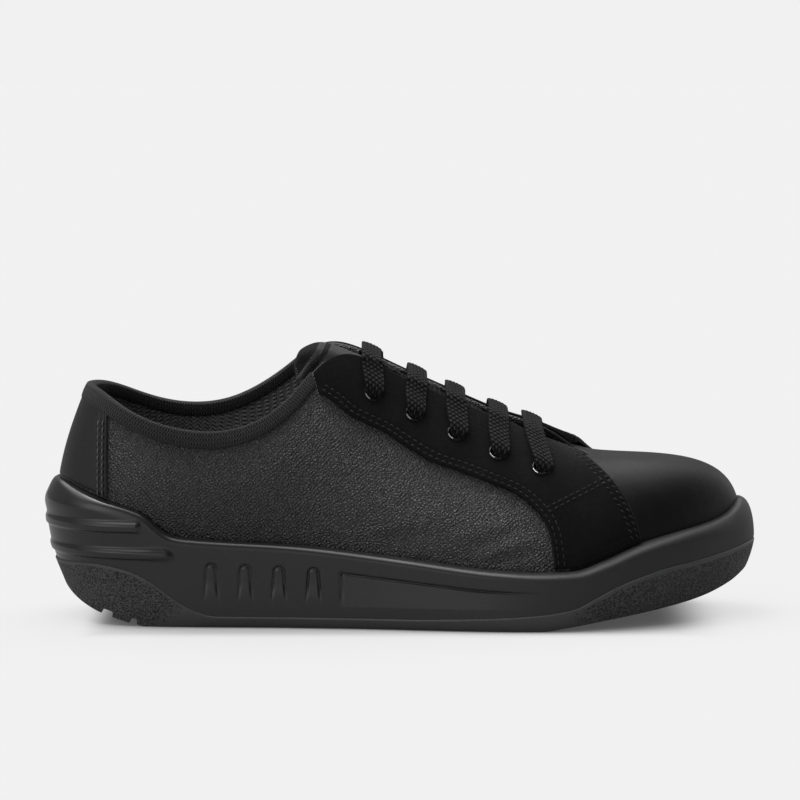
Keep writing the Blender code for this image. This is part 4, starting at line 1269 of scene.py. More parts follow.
@dataclass
class Overlays:
    """Suede eyestays with their wings and the smooth counter round the heel, all sewn on the upper."""

    last: Last
    finishes: Finishes
    height: float = 1.6
    edge_round: float = 0.8
    front_ring: float = 12.05
    rear: float = -33.5
    columns: tuple[int, int] = (110, 80)
    rows: int = 64
    lower: SideLine = SideLine(
        (-36, 92.0), (-32, 90.0), (-26, 86.4), (-19, 80.8), (-5, 73.8), (3, 68.6), (13, 63.0), (25, 59.0),
        (35, 55.2), (45, 51.0), (53, 44.7), (57, 38.5), (59, 29.4), (60, 12.0),
    )
    wing_lap: float = 0.3
    cross_seam: SideLine = SideLine(
        (50, 42.0), (58, 45.8), (65.4, 49.2), (72.3, 52.2), (79.8, 55.6), (96, 61.5),
    )
    cross_half: float = 0.9
    seam_rows: Pair = (1.7, 3.9)
    seam_press: float = 0.2
    seam_width: float = 0.6
    seam_sink: float = 0.12
    seam_points: tuple[int, int, int] = (240, 160, 120)
    front_slant: float = 32.0
    counter_front: float = -112.6
    counter_height: float = 0.75
    counter_grid: tuple[int, int] = (60, 130)
    counter_rows: Pair = (2.2, 4.3)
    counter_stand: float = 0.1
    counter_lap: float = 0.8
    fold_height: float = 0.4
    fold_at: float = 0.9
    fold_width: float = 0.5
    binding_width: float = 5.8
    curl_x: float = 68.5
    curl_reach: float = 5.5
    curl_height: float = 1.7
    curl_shares: Pair = (0.55, 0.95)

    def rear_ring(self) -> float:
        """Ring share of the eyestay's rear end, where the collar's tape stops."""
        probe = np.linspace(3, 9, 400)
        return float(np.interp(self.rear, self.last.top_line[0](probe), probe))

    def wing_ring(self) -> float:
        """Ring share just in front of the wing's rear corner, under which the quarter and the vamp meet."""
        edge, _, corner = self._edge(Side.OUTER)
        return float(edge[corner]) + self.wing_lap

    def floor(self, k: Array) -> Array:
        """Lower edge of the eyestay as a height share: its side line, or just over the sole's rim."""
        return np.maximum(self.last.line_share(k, self.lower), self.last.over_rim(k))

    def _evenly(self, k: Array, u: Array, count: int) -> tuple[Array, ...]:
        """Ring and height shares of points spaced evenly along a line on the upper."""
        run = lengths(self.last.meridian(k, u))
        return tuple(np.interp(np.linspace(0, run[-1], count), run, share) for share in (k, u))

    def _edge(self, side: Side) -> tuple[Array, Array, int]:
        """Lower edge of an eyestay.

        Args:
            side: Side of the foot.

        Returns:
            Ring shares and height shares of the edge, and the place of its wing's corner in them.
        """
        edge = side.ring(np.linspace(self.rear_ring(), self.front_ring, 900))
        floor = self.floor(edge)
        return edge, floor, int(np.argmin(np.diff(floor)))

    def _grid(self, side: Side) -> tuple[Array, Array]:
        """Grid of an eyestay, with columns along its lower edge, then down and along its wing.

        Args:
            side: Side of the foot.

        Returns:
            Ring and height shares, shape (rows, columns).
        """
        edge, floor, corner = self._edge(side)
        columns = []
        for part, count in zip((slice(corner + 1), slice(corner, None)), self.columns):
            low_k, low_u = self._evenly(edge[part], floor[part], count)
            top_k, _ = self._evenly(edge[part], np.ones_like(edge[part]), count)
            columns.append(np.stack([low_k, low_u, top_k]))
        low_k, low_u, top_k = np.concatenate([columns[0], columns[1][:, 1:]], axis=1)
        share = np.linspace(0, 1, self.rows)
        rows = (0.5 * share + 0.5 * (0.5 - 0.5 * np.cos(math.pi * share)))[:, None]
        return low_k + (top_k - low_k) * rows, low_u + (1 - low_u) * rows

    def build(self, holes: dict[Side, list[Matrix]], stitching: Stitching) -> None:
        """Builds the eyestays, the counter and their seams.

        Args:
            holes: Frames of the eyelets on each side.
            stitching: Thread of the seams.
        """
        for side in Side:
            self._eyestay(side, holes[side])
            self._eyestay_seams(side, stitching)
        self._counter(stitching)

    def _slab(self, k: Array, u: Array, height: Array | float, ends: tuple[float, ...] = ()) -> Patch:
        """Panel on the upper with a rounded edge all round, pressed in along its seams.

        Args:
            k: Ring shares of the panel's grid.
            u: Height shares of the panel's grid.
            height: Height of its face over the upper.
            ends: Distances of seams from the grid's first and last column, for a panel sewn only there.

        Returns:
            A patch with the panel's face.
        """
        points = self.last.meridian(k, u)
        away = border_distance(points)
        inside = np.clip(away / self.edge_round, 0, 1)
        rise = height * np.sqrt(1 - (1 - inside) ** 2)
        if ends:
            run = lengths(points.swapaxes(0, 1)).T
            away = np.minimum(run, run[:, -1:] - run)
            rise = rise + self.fold_height * hump(away, self.fold_at, self.fold_width)
        else:
            away = border_distance(points, top=False)
        for row in ends or self.seam_rows:
            rise = rise - self.seam_press * hump(away, row, self.seam_width)
        patch = Patch()
        patch.grid(self.last.skin(k, u, rise))
        return patch

    def _eyestay(self, side: Side, holes: Sequence[Matrix]) -> None:
        """Suede facing with its wing, curled up at the inner front end.

        Args:
            side: Side of the foot.
            holes: Frames of the eyelets.
        """
        k, u = self._grid(side)
        height = np.full(k.shape, self.height)
        if side is Side.INNER:
            curl = hump(self.last.meridian(k, u)[..., 0], self.curl_x, self.curl_reach)
            height += self.curl_height * curl * ease(u, *self.curl_shares)
        patch = self._slab(k, u, height)
        patch.drill(holes)
        name = f"eyestay_{side.word}"
        panel = patch.build(name + "_suede", self.finishes["suede"])
        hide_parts(name)

    def _row(
        self, patch: Patch, stitching: Stitching, k: Array, u: Array, height: float, slant: float = 0.0
    ) -> None:
        """One row of stitches along a line on the upper, at a height over it."""
        k, u = k[u < 1], u[u < 1]
        stitching.sew(patch, self.last.skin(k, u, height), self.last.ways(k, u)[2], slant)

    def _eyestay_seams(self, side: Side, stitching: Stitching) -> None:
        """Double rows along the lower and front edges and the cross seam.

        Args:
            side: Side of the foot.
            stitching: Thread of the seams.
        """
        edge, floor, _ = self._edge(side)
        patch = Patch()
        height = self.height - self.seam_sink
        outer = side is Side.OUTER
        sign = 1.0 if outer else -1.0
        low_count, front_count, cross_count = self.seam_points
        on_line = np.flatnonzero(self.last.line_share(edge, self.lower) >= floor - 1e-6)
        wing_foot = on_line[-1] + 2
        low_k, low_u = self._evenly(edge[:wing_foot], floor[:wing_foot], low_count)
        front = side.ring(self.front_ring)
        front_k = np.full(front_count, front)
        front_u = np.linspace(float(self.floor(front_k[:1])[0]) + 0.01, 0.995, front_count)
        for distance in self.seam_rows:
            beside = self.last.line_beside(low_k, low_u, sign * distance)
            self._row(patch, stitching, *beside, height)
            beside = self.last.line_beside(front_k, front_u, sign * distance)
            self._row(patch, stitching, *beside, height, sign * self.front_slant)
        start = float(np.max(low_k) if outer else np.min(low_k))
        seam_k = np.linspace(start, front, cross_count)
        seam_u = self.last.line_share(seam_k, self.cross_seam)
        for distance in (-self.cross_half, self.cross_half):
            self._row(patch, stitching, *self.last.line_beside(seam_k, seam_u, distance), height)
        seams = patch.build(f"eyestay_{side.word}_seams", self.finishes["waxed_thread"])

    def _counter_span(self, k: Array) -> tuple[Array, Array]:
        """Lower and upper edge of the counter as height shares."""
        return self.last.over_rim(k), self.last.share_below(k, self.binding_width - self.counter_lap)

    def _counter(self, stitching: Stitching) -> None:
        """Counter round the heel, its folded front edges sewn with two rows.

        Args:
            stitching: Thread of the seams.
        """
        last = self.last
        up, around = self.counter_grid
        rows = np.linspace(0, 1, up)
        probe = np.linspace(0.0, 5.0, 200)
        low, high = self._counter_span(probe)
        points = last.meridian(probe[None, :], low + (high - low) * rows[:, None])
        reach = first_rise((points[..., 0] - self.counter_front).T, probe)
        across = np.linspace(-1, 1, around)
        k = reach[:, None] * (0.6 * across + 0.4 * np.sin(across * math.pi / 2))
        low, high = np.array([self._counter_span(row) for row in k]).swapaxes(0, 1)
        u = low + (high - low) * rows[:, None]
        slab = self._slab(k, u, self.counter_height, self.counter_rows)
        panel = slab.build("heel_counter_leather", self.finishes["counter_leather"])
        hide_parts("heel_counter")
        patch = Patch()
        for column, sign in ((-1, 1.0), (0, -1.0)):
            for distance in self.counter_rows:
                beside = last.line_beside(k[1:-1, column], u[1:-1, column], sign * distance)
                self._row(patch, stitching, *beside, self.counter_height + self.counter_stand)
        seams = patch.build("heel_counter_seams", self.finishes["pale_thread"])


@dataclass(frozen=True)
class Eyelet:
    """Place of a pair of eyelets, and how far their lace bar lies towards the toe.

    The place is given along the shoe and down from the throat's edge, the bar's lean at the throat and at its
    foot.
    """

    x: float
    setback: float
    top_lean: float
    foot_lean: float


@dataclass(frozen=True)
class LaceStep:
    """Step of a lace bar over its eyelet: up, out along the bar, share of the foot's lean, and size."""

    up: float
    out: float
    lean: float
    width: float
    thick: float


@dataclass
class Lacing:
    """Enamelled eyelets and the flat lace that runs through them."""

    last: Last
    finishes: Finishes
    face: float = 1.6
    eyelets: tuple[Eyelet, ...] = (
        Eyelet(-10.6, 14.5, 0.2, 0.4), Eyelet(5.4, 14.8, 1.7, 0.8), Eyelet(21.6, 16.6, 0.9, 1.2),
        Eyelet(37.7, 18.8, 2.0, 1.3), Eyelet(54.5, 20.5, 0.3, 1.5),
    )
    bore: float = 2.4
    flange: float = 3.5
    proud: float = 0.7
    depth: float = 4.2
    glint_arc: Pair = (188.0, 238.0)
    sides: int = 56
    width: float = 8.5
    thick: float = 1.6
    dip: tuple[LaceStep, ...] = (
        LaceStep(-4.4, 0.0, 0.0, 4.1, 2.3), LaceStep(-1.8, -0.4, 0.0, 4.1, 2.3),
        LaceStep(0.1, -0.8, 0.4, 5.4, 2.1), LaceStep(1.7, 0.0, 0.8, 6.8, 1.9),
        LaceStep(2.3, 2.4, 1.0, 7.7, 1.7), LaceStep(1.9, 5.6, 1.0, 8.3, 1.6),
    )
    dip_share: float = 0.6
    climb: tuple[Pair, ...] = ((0.38, 0.45), (0.18, 0.35), (0.0, 0.3))
    neck_width: float = 4.1
    arch: float = 0.38
    under_arch: float = 0.4
    under_gap: float = 0.15
    diagonal_shares: tuple[float, ...] = (0.77, 0.59, 0.41, 0.23)
    diagonal_width: float = 0.9
    step: float = 0.34
    around: int = 64
    thread_columns: int = 6
    thread_pitch: float = 2.1
    thread_height: float = 0.26
    under: float = -2.9

    def place(self, eyelet: Eyelet, side: Side) -> Pair:
        """Place of an eyelet on the upper.

        Args:
            eyelet: The eyelet.
            side: Side of the foot.

        Returns:
            Its ring and height share.
        """
        probe = side.ring(np.linspace(6, TOE - 1, 200))
        shares = self.last.share_below(probe, eyelet.setback)
        k = float(np.interp(eyelet.x, self.last.meridian(probe, shares)[:, 0], probe))
        return k, float(self.last.share_below(k, eyelet.setback)[0])

    def frame(self, eyelet: Eyelet, side: Side) -> Matrix:
        """Frame of an eyelet in millimetres.

        Args:
            eyelet: The eyelet.
            side: Side of the foot.

        Returns:
            A frame with its origin on the eyestay's face and Z outwards.
        """
        k, u = self.place(eyelet, side)
        turn = Vector(self.last.ways(k, u)[2]).to_track_quat("Z", "Y").to_matrix().to_4x4()
        return Matrix.Translation(Vector(self.last.skin(k, u, self.face))) @ turn

    def frames(self) -> dict[Side, list[Matrix]]:
        """Frames of all eyelets on each side."""
        return {side: [self.frame(eyelet, side) for eyelet in self.eyelets] for side in Side}

    def build(self) -> None:
        """Builds the eyelets and the lace."""
        for side in Side:
            for number, eyelet in enumerate(self.eyelets, 1):
                self._eyelet(f"eyelet_{side.word}_{number}", self.frame(eyelet, side))
        for number, eyelet in enumerate(self.eyelets, 1):
            self._bar(number, eyelet)
        for number, (one, other) in enumerate(zip(self.eyelets, self.eyelets[1:]), 1):
            self._diagonal(number, one, other)

    def _eyelet(self, name: str, frame: Matrix) -> None:
        """Ring with a rolled rim, its barrel through the leather and a flare at the back.

        Args:
            name: CAD node that it stands for.
            frame: The eyelet's frame.
        """
        roll = (self.flange - self.bore) / 2
        middle = self.bore + roll
        flare = ((0.9, -0.3), (0.15, 0.0), (0.0, 0.8))
        profile = [(self.bore + out, up - self.depth) for out, up in flare]
        profile += [(self.bore, height) for height in np.linspace(-2.0, 0.2, 4)]
        for a in np.linspace(math.pi, 0, 12)[1:]:
            profile.append((middle + roll * math.cos(a), 0.25 + (self.proud - 0.25) * math.sin(a)))
        profile += [(self.flange - 0.1, 0.02), (self.bore + 0.5, -0.05)]
        turns = np.linspace(0, 2 * math.pi, self.sides + 1)
        ring = np.array([[(r * math.cos(a), r * math.sin(a), h) for a in turns] for r, h in profile])
        matrix = np.array(frame)
        patch = Patch()
        radius, height = np.array(profile)[1:].T
        # The crest's bright metal on an arc at its lower left is placed to give a glint there: a painted
        # highlight; the rest of the ring is black enamel.
        crest = (np.abs(radius - middle) < 0.6 * roll) & (height > 0.3)
        turn = np.degrees(turns[1:])
        glint = crest[:, None] & (turn > self.glint_arc[0]) & (turn < self.glint_arc[1])
        patch.grid(ring @ matrix[:3, :3].T + matrix[:3, 3], finish=np.where(glint, 1, 0))
        ring_piece = patch.build(name + "_ring", self.finishes["black_enamel"], self.finishes["painted_glint_lip"])
        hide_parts(name)

    def _throat_way(self, k: float) -> Array:
        """Direction of the throat's edge towards the toe."""
        ends = self.last.meridian(np.array([k - NUDGE, k + NUDGE]), np.ones(2))
        return unit(ends[1] - ends[0])

    def _bar_end(self, eyelet: Eyelet, side: Side) -> Array:
        """Half a bar, from inside the eyelet to the throat's edge.

        Args:
            eyelet: The bar's eyelet.
            side: Side of the foot.

        Returns:
            Rows of x, y, z, width and thickness.
        """
        k, _ = self.place(eyelet, side)
        matrix = np.array(self.frame(eyelet, side))
        origin, normal = matrix[:3, 3], matrix[:3, 2]
        edge = self.last.skin(k, self.last.share_below(k, eyelet.setback * self.dip_share), self.face)[0]
        way = edge - origin
        way = unit(way - normal * (way @ normal))
        ahead = self._throat_way(k) * (1.0 if side is Side.OUTER else -1.0)
        foot, top = eyelet.foot_lean, eyelet.top_lean
        rows = []
        for step in self.dip:
            point = origin + normal * step.up + way * step.out + ahead * step.lean * foot
            rows.append([*point, step.width, step.thick])
        for share, lift in self.climb:
            at = self.last.share_below(k, eyelet.setback * share)
            point = self.last.skin(k, at, self.face + lift + self.thick / 2)[0]
            lean = foot + (top - foot) * (1 - share / self.dip_share)
            rows.append([*(point + ahead * lean), self.width, self.thick])
        return np.array(rows)

    def _bar(self, number: int, eyelet: Eyelet) -> None:
        """Straight bar over the throat, dipping into an eyelet at each end.

        Args:
            number: Number of the bar, from the top.
            eyelet: Its pair of eyelets.
        """
        ends = [self._bar_end(eyelet, side) for side in Side]
        start, stop = ends[0][-1, :3], ends[1][-1, :3]
        span = np.linalg.norm(stop - start) * self.arch
        ways = [unit(end[-1, :3] - end[-2, :3]) * span for end in ends]
        size = (self.width, self.thick)
        middle = [[*arch_point(start, stop, ways, share), *size] for share in (0.25, 0.5, 0.75)]
        path = np.concatenate([ends[0], np.array(middle), ends[1][::-1]])
        way = self._throat_way(self.place(eyelet, Side.OUTER)[0])
        self._ribbon(f"lace_bar_{number}", path, way)

    def _diagonal(self, number: int, one: Eyelet, other: Eyelet) -> None:
        """Length of lace under the throat's edges.

        Args:
            number: Number of the diagonal, from the top.
            one: Pair of eyelets that it leaves on the inner side.
            other: Next pair, which it reaches on the outer side.
        """
        k_in, u_in = self.place(one, Side.INNER)
        k_out, u_out = self.place(other, Side.OUTER)
        rows = [self.last.skin(k_in, u, self.under) for u in (u_in, (u_in + 1) / 2)]
        pair = np.array([self.place(one, Side.OUTER)[0], k_out])
        shares = self.diagonal_shares
        for share in shares:
            k = float(np.interp(share, (shares[-1], shares[0]), pair[::-1]))
            rows.append(self._under_throat(k, share))
        rows += [self.last.skin(k_out, u, self.under) for u in ((u_out + 1) / 2, u_out)]
        sizes = np.tile([self.width * self.diagonal_width, self.thick], (len(rows), 1))
        sizes[[0, -1], 0] = self.neck_width
        way = self._throat_way(float(pair.mean()))
        self._ribbon(f"lace_diagonal_{number}", np.concatenate([np.array(rows), sizes], axis=1), way)

    def _under_throat(self, k: float, share: float) -> Array:
        """Point of the arch just over the tongue, between the throat's two edges.

        Args:
            k: Ring share of the outer edge.
            share: Place along the arch.

        Returns:
            The point.
        """
        pair = np.array([k, TURN - k])
        edge = self.last.skin(pair, np.ones(2), self.under + self.under_gap)
        ways = unit(self.last.ways(pair, np.ones(2))[1])
        ways = ways * np.linalg.norm(edge[1] - edge[0]) * self.under_arch
        return arch_point(*edge, ways, share)

    def _ribbon(self, name: str, path: Array, way: Array) -> None:
        """Flat lace with its threads standing up, along a path.

        Args:
            name: CAD node that it stands for.
            path: Rows of x, y, z, width and thickness.
            way: Direction of its wide side.
        """
        line = even_line(path, self.step)
        centre, wide, thick = line[:, :3], line[:, 3:4], line[:, 4:5]
        forward = unit(np.gradient(centre, axis=0))
        normal = unit(np.cross(way, forward))
        aside = unit(np.cross(forward, normal))
        turns = np.linspace(0, 2 * math.pi, self.around, endpoint=False)
        across, up = np.cos(turns), np.sin(turns)
        level = np.sign(up) * np.abs(up) ** 0.85
        run = lengths(centre)[:, None]
        lane = (across + 1) / 2 * self.thread_columns
        ridge = np.abs(np.sin(math.pi * lane)) ** 1.1
        phase = np.pi * np.floor(lane)
        knuckle = 0.5 + 0.5 * np.cos(2 * math.pi * run / self.thread_pitch + phase)
        relief = self.thread_height * np.abs(level) * (ridge * (0.35 + 0.65 * knuckle) - 0.5)
        points = (
            centre[:, None]
            + aside[:, None] * (across * wide / 2)[..., None]
            + normal[:, None] * (level * (thick / 2 + relief))[..., None]
        )
        places = sheet(run, across * self.width / 2)
        patch = Patch()
        patch.grid(points.swapaxes(0, 1), places.swapaxes(0, 1), wrap=True)
        lace = patch.build(name + "_weave", self.finishes["lace_weave"])
        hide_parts(name)


@dataclass(frozen=True)
class TongueRow:
    """Row across the tongue: its ring share and how far its wings reach under the eyestays."""

    ring: float
    wing: float


@dataclass(frozen=True)
class TongueEnd:
    """Row of the tongue's free end: back and up from the last row, and its share of that row's width."""

    back: float
    up: float
    width: float


@dataclass
class Tongue:
    """Padded tongue under the lace, with a bound edge."""

    last: Last
    finishes: Finishes
    clear: float = 2.0
    thick: float = 4.2
    edge_thick: float = 2.2
    arch: float = 0.4
    rows: tuple[TongueRow, ...] = (
        TongueRow(12.6, 7.0), TongueRow(11.5, 11.0), TongueRow(10.5, 14.0), TongueRow(9.5, 15.0),
        TongueRow(8.5, 15.0), TongueRow(7.7, 15.0), TongueRow(7.0, 15.0),
    )
    ends: tuple[TongueEnd, ...] = (
        TongueEnd(10.0, 3.2, 0.93), TongueEnd(17.5, 1.0, 0.76), TongueEnd(21.5, -3.8, 0.52),
    )
    root_reach: float = 9.0
    root_span: float = 1.4
    root_gap: float = 0.5
    points: int = 9
    fine_rows: int = 260
    fine_columns: int = 241
    turns: int = 128
    tip: float = 0.045
    puff: float = 0.3
    groove: tuple[float, float, float, float] = (-3.2, -2.6, -1.3, -0.8)
    groove_depth: float = 1.3
    bead_width: float = 0.9
    bead_height: float = 0.5
    step: Pair = (0.9, 1.6)
    step_depth: float = 0.8
    layer_top: Pair = (99.0, 104.0)
    groove_shade: Pair = (-2.9, -1.0)
    dark_back: float = 1.2
    piping: float = 1.1
    piping_start: float = 0.45
    piping_step: float = 0.8
    piping_sides: int = 14
    layer_edge: tuple[Pair, Pair] = ((-43.1, 88.7), (-31.1, 105.5))

    def _row(self, row: TongueRow) -> Array:
        """Points across the top face: under the outer eyestay, over the throat, under the inner one.

        Args:
            row: Sizes of the row.

        Returns:
            The points.
        """
        sink = -(self.last.wall_thick + self.clear)
        pair = np.array([row.ring, TURN - row.ring])
        wings = []
        for at in pair:
            shares = [float(self.last.share_below(at, d)[0]) for d in (row.wing, row.wing / 2, 0.0)]
            wings.append(self.last.skin(at, np.array(shares), sink))
        start, stop = wings[0][-1], wings[1][-1]
        ways = unit(self.last.ways(pair, np.ones(2))[1]) * np.linalg.norm(stop - start) * self.arch
        middle = [arch_point(start, stop, ways, share) for share in (0.25, 0.5, 0.75)]
        return np.concatenate([wings[0], np.array(middle), wings[1][::-1]])

    def _top_face(self) -> Array:
        """Control grid of the top face.

        Returns:
            Points in rows from root to free end.
        """
        k = np.linspace(TOE - self.root_span, TOE + self.root_span, self.points)
        sink = np.full(self.points, -(self.last.wall_thick + self.root_gap))
        rows = [self.last.skin(k, self.last.share_below(k, self.root_reach), sink)]
        rows += [self._row(row) for row in self.rows]
        back = rows[-1]
        crest = back[len(back) // 2]
        for end in self.ends:
            rows.append(crest + (back - crest) * (1, end.width, end.width) + (-end.back, 0, end.up))
        return np.array(rows)

    def build(self) -> None:
        """Builds the pad and the binding round its edge."""
        rows, columns = self.fine_rows, self.fine_columns
        half = columns // 2
        grid = smooth_line(self._top_face(), rows)
        dense = smooth_line(grid.swapaxes(0, 1), columns).swapaxes(0, 1)
        normal = unit(np.cross(np.gradient(dense, axis=0), np.gradient(dense, axis=1)))
        normal *= np.sign(normal[rows // 2, half, 2])
        across = np.linspace(-1, 1, columns)
        thick = self.thick + (self.edge_thick - self.thick) * across**2
        angle = np.linspace(0, 2 * math.pi, self.turns, endpoint=False)
        column = np.rint((np.cos(angle) + 1) * half).astype(int)
        level = np.sign(np.sin(angle)) * np.abs(np.sin(angle)) ** 0.7
        run = np.linspace(0, 1, rows)[:, None]
        depth = thick[column] / 2 * (level - 1) * np.sqrt(np.clip((1 - run) / self.tip, 0.02, 1))
        puff = self.puff * np.sin(np.pi * run) * np.clip(level, 0, 1) * (1 - across[column] ** 2)
        face = dense[:, column]
        behind = self._behind(face)
        gap = ease(behind, *self.groove[:2]) - ease(behind, *self.groove[2:])
        layers = self.bead_height * hump(behind, 0.0, self.bead_width) - self.groove_depth * gap
        layers = (layers - self.step_depth * ease(behind, *self.step)) * ease(level, 0.0, 0.5)
        lift = depth + puff + layers * (1 - ease(face[..., 2], *self.layer_top))
        points = face + normal[:, column] * lift[..., None]
        places = sheet(lengths(dense[:, half])[:, None], lengths(dense[rows // 2])[column])
        # Darker cloth behind the step, and painted shade in the groove's floor in front of the layer's edge.
        start, stop = self.groove_shade
        dark = (behind > self.dark_back) | ((behind > start) & (behind < stop))
        finish = np.where(dark[1:].swapaxes(0, 1), 1, 0)
        patch = Patch()
        patch.grid(points.swapaxes(0, 1), places.swapaxes(0, 1), wrap=True, finish=finish)
        pad = patch.build("tongue_pad", self.finishes["tongue_fabric"], self.finishes["dark_cloth_and_groove_shade"])
        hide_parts("tongue")
        self._binding(dense, normal, thick)

    def _behind(self, points: Array) -> Array:
        """Distance of points behind the slanting edge of the tongue's outer layer.

        Args:
            points: Points of the top face.

        Returns:
            Distances, negative in front of the edge.
        """
        (x0, z0), (x1, z1) = self.layer_edge
        area = (z1 - points[..., 2]) * (x0 - x1) + (points[..., 0] - x1) * (z0 - z1)
        return area / math.hypot(x1 - x0, z1 - z0)

    def _binding(self, dense: Array, normal: Array, thick: Array) -> None:
        """Piping round the free edge of the tongue.

        Args:
            dense: Fine grid of the top face.
            normal: The face's normals.
            thick: Thickness across the tongue.
        """
        start = int(self.piping_start * len(dense))
        sunk = dense - normal * (thick / 2)[:, None]
        border = np.concatenate([sunk[start:, 0], sunk[-1, 1:-1], sunk[:0:-1, -1][: len(dense) - start]])
        line = even_line(border[::6], self.piping_step, smooth=8)
        forward = unit(np.gradient(line, axis=0))
        aside = unit(np.cross(forward, np.array([0.0, 0.0, 1.0])))
        angle = np.linspace(0, 2 * math.pi, self.piping_sides, endpoint=False)
        ring = line[:, None] + self.piping * round_about(aside, np.cross(aside, forward), angle)
        places = sheet(lengths(line)[:, None], angle)
        patch = Patch()
        patch.grid(ring.swapaxes(0, 1), places.swapaxes(0, 1), wrap=True)
        patch.build("tongue_piping", self.finishes["ribbed_tape"])


class BarEnd(Enum):
    """Shape of the front end of a heel bar."""

    SQUARE = "square"
    ROUND = "round"


@dataclass(frozen=True)
class HeelBar:
    """Raised bar round the heel: its edges, how far forward it reaches and how far it stands out."""

    low: float
    high: float
    front: float
    proud: float
    end: BarEnd
    soft_top: float = 0.95
    soft_foot: float = 0.45
    heel_share: float = 0.55
    heel_span: Pair = (-136.0, -112.0)
    square_span: Pair = (-0.6, 0.1)

    def relief(self, x: Array, z: Array) -> Array:
        """Outward move of the sole's side.

        Args:
            x: Places along the shoe.
            z: Heights.

        Returns:
            Distances.
        """
        half = (self.high - self.low) / 2
        above = z - (self.high + self.low) / 2
        soft = half * np.where(above > 0, self.soft_top, self.soft_foot)
        proud = self.proud * (self.heel_share + (1 - self.heel_share) * ease(x, *self.heel_span))
        if self.end is BarEnd.ROUND:
            ahead = np.maximum(x - (self.front - half), 0)
            return proud * (1 - ease(np.hypot(above, ahead) - half + soft, 0.0, soft))
        square = 1 - ease(x - self.front, *self.square_span)
        return proud * square * (1 - ease(np.abs(above) - half + soft, 0.0, soft))


@dataclass(frozen=True)
class Slot:
    """Arched slot in the side, deepest at its top: its lower rear corner, top and foot."""

    rear: float
    top: float
    foot: float
    foot_width: float = 6.2
    top_width: float = 4.0
    arch: float = 1.9
    depth: float = 0.8
    line_depth: float = 1.05
    line_width: float = 0.42
    fade: float = 0.55

    def relief(self, x: Array, z: Array) -> Array:
        """Outward move of the sole's side.

        Args:
            x: Places along the shoe.
            z: Heights.

        Returns:
            Distances, negative in the slot.
        """
        share = np.clip((z - self.foot) / (self.top - self.foot), 0, 1)
        half = (self.foot_width + (self.top_width - self.foot_width) * share) / 2
        aside = np.abs(x - self.rear - self.foot_width / 2)
        round_top = self.top - self.arch
        reach = np.hypot(aside, np.maximum(z - round_top, 0) * half / self.arch) - half
        inside = 1 - ease(reach, -2 * self.line_width, 0.0)
        line = hump(reach, -0.5 * self.line_width, self.line_width)
        return -(self.depth * share * inside + self.line_depth * line) * ease(share, 0.0, self.fade)


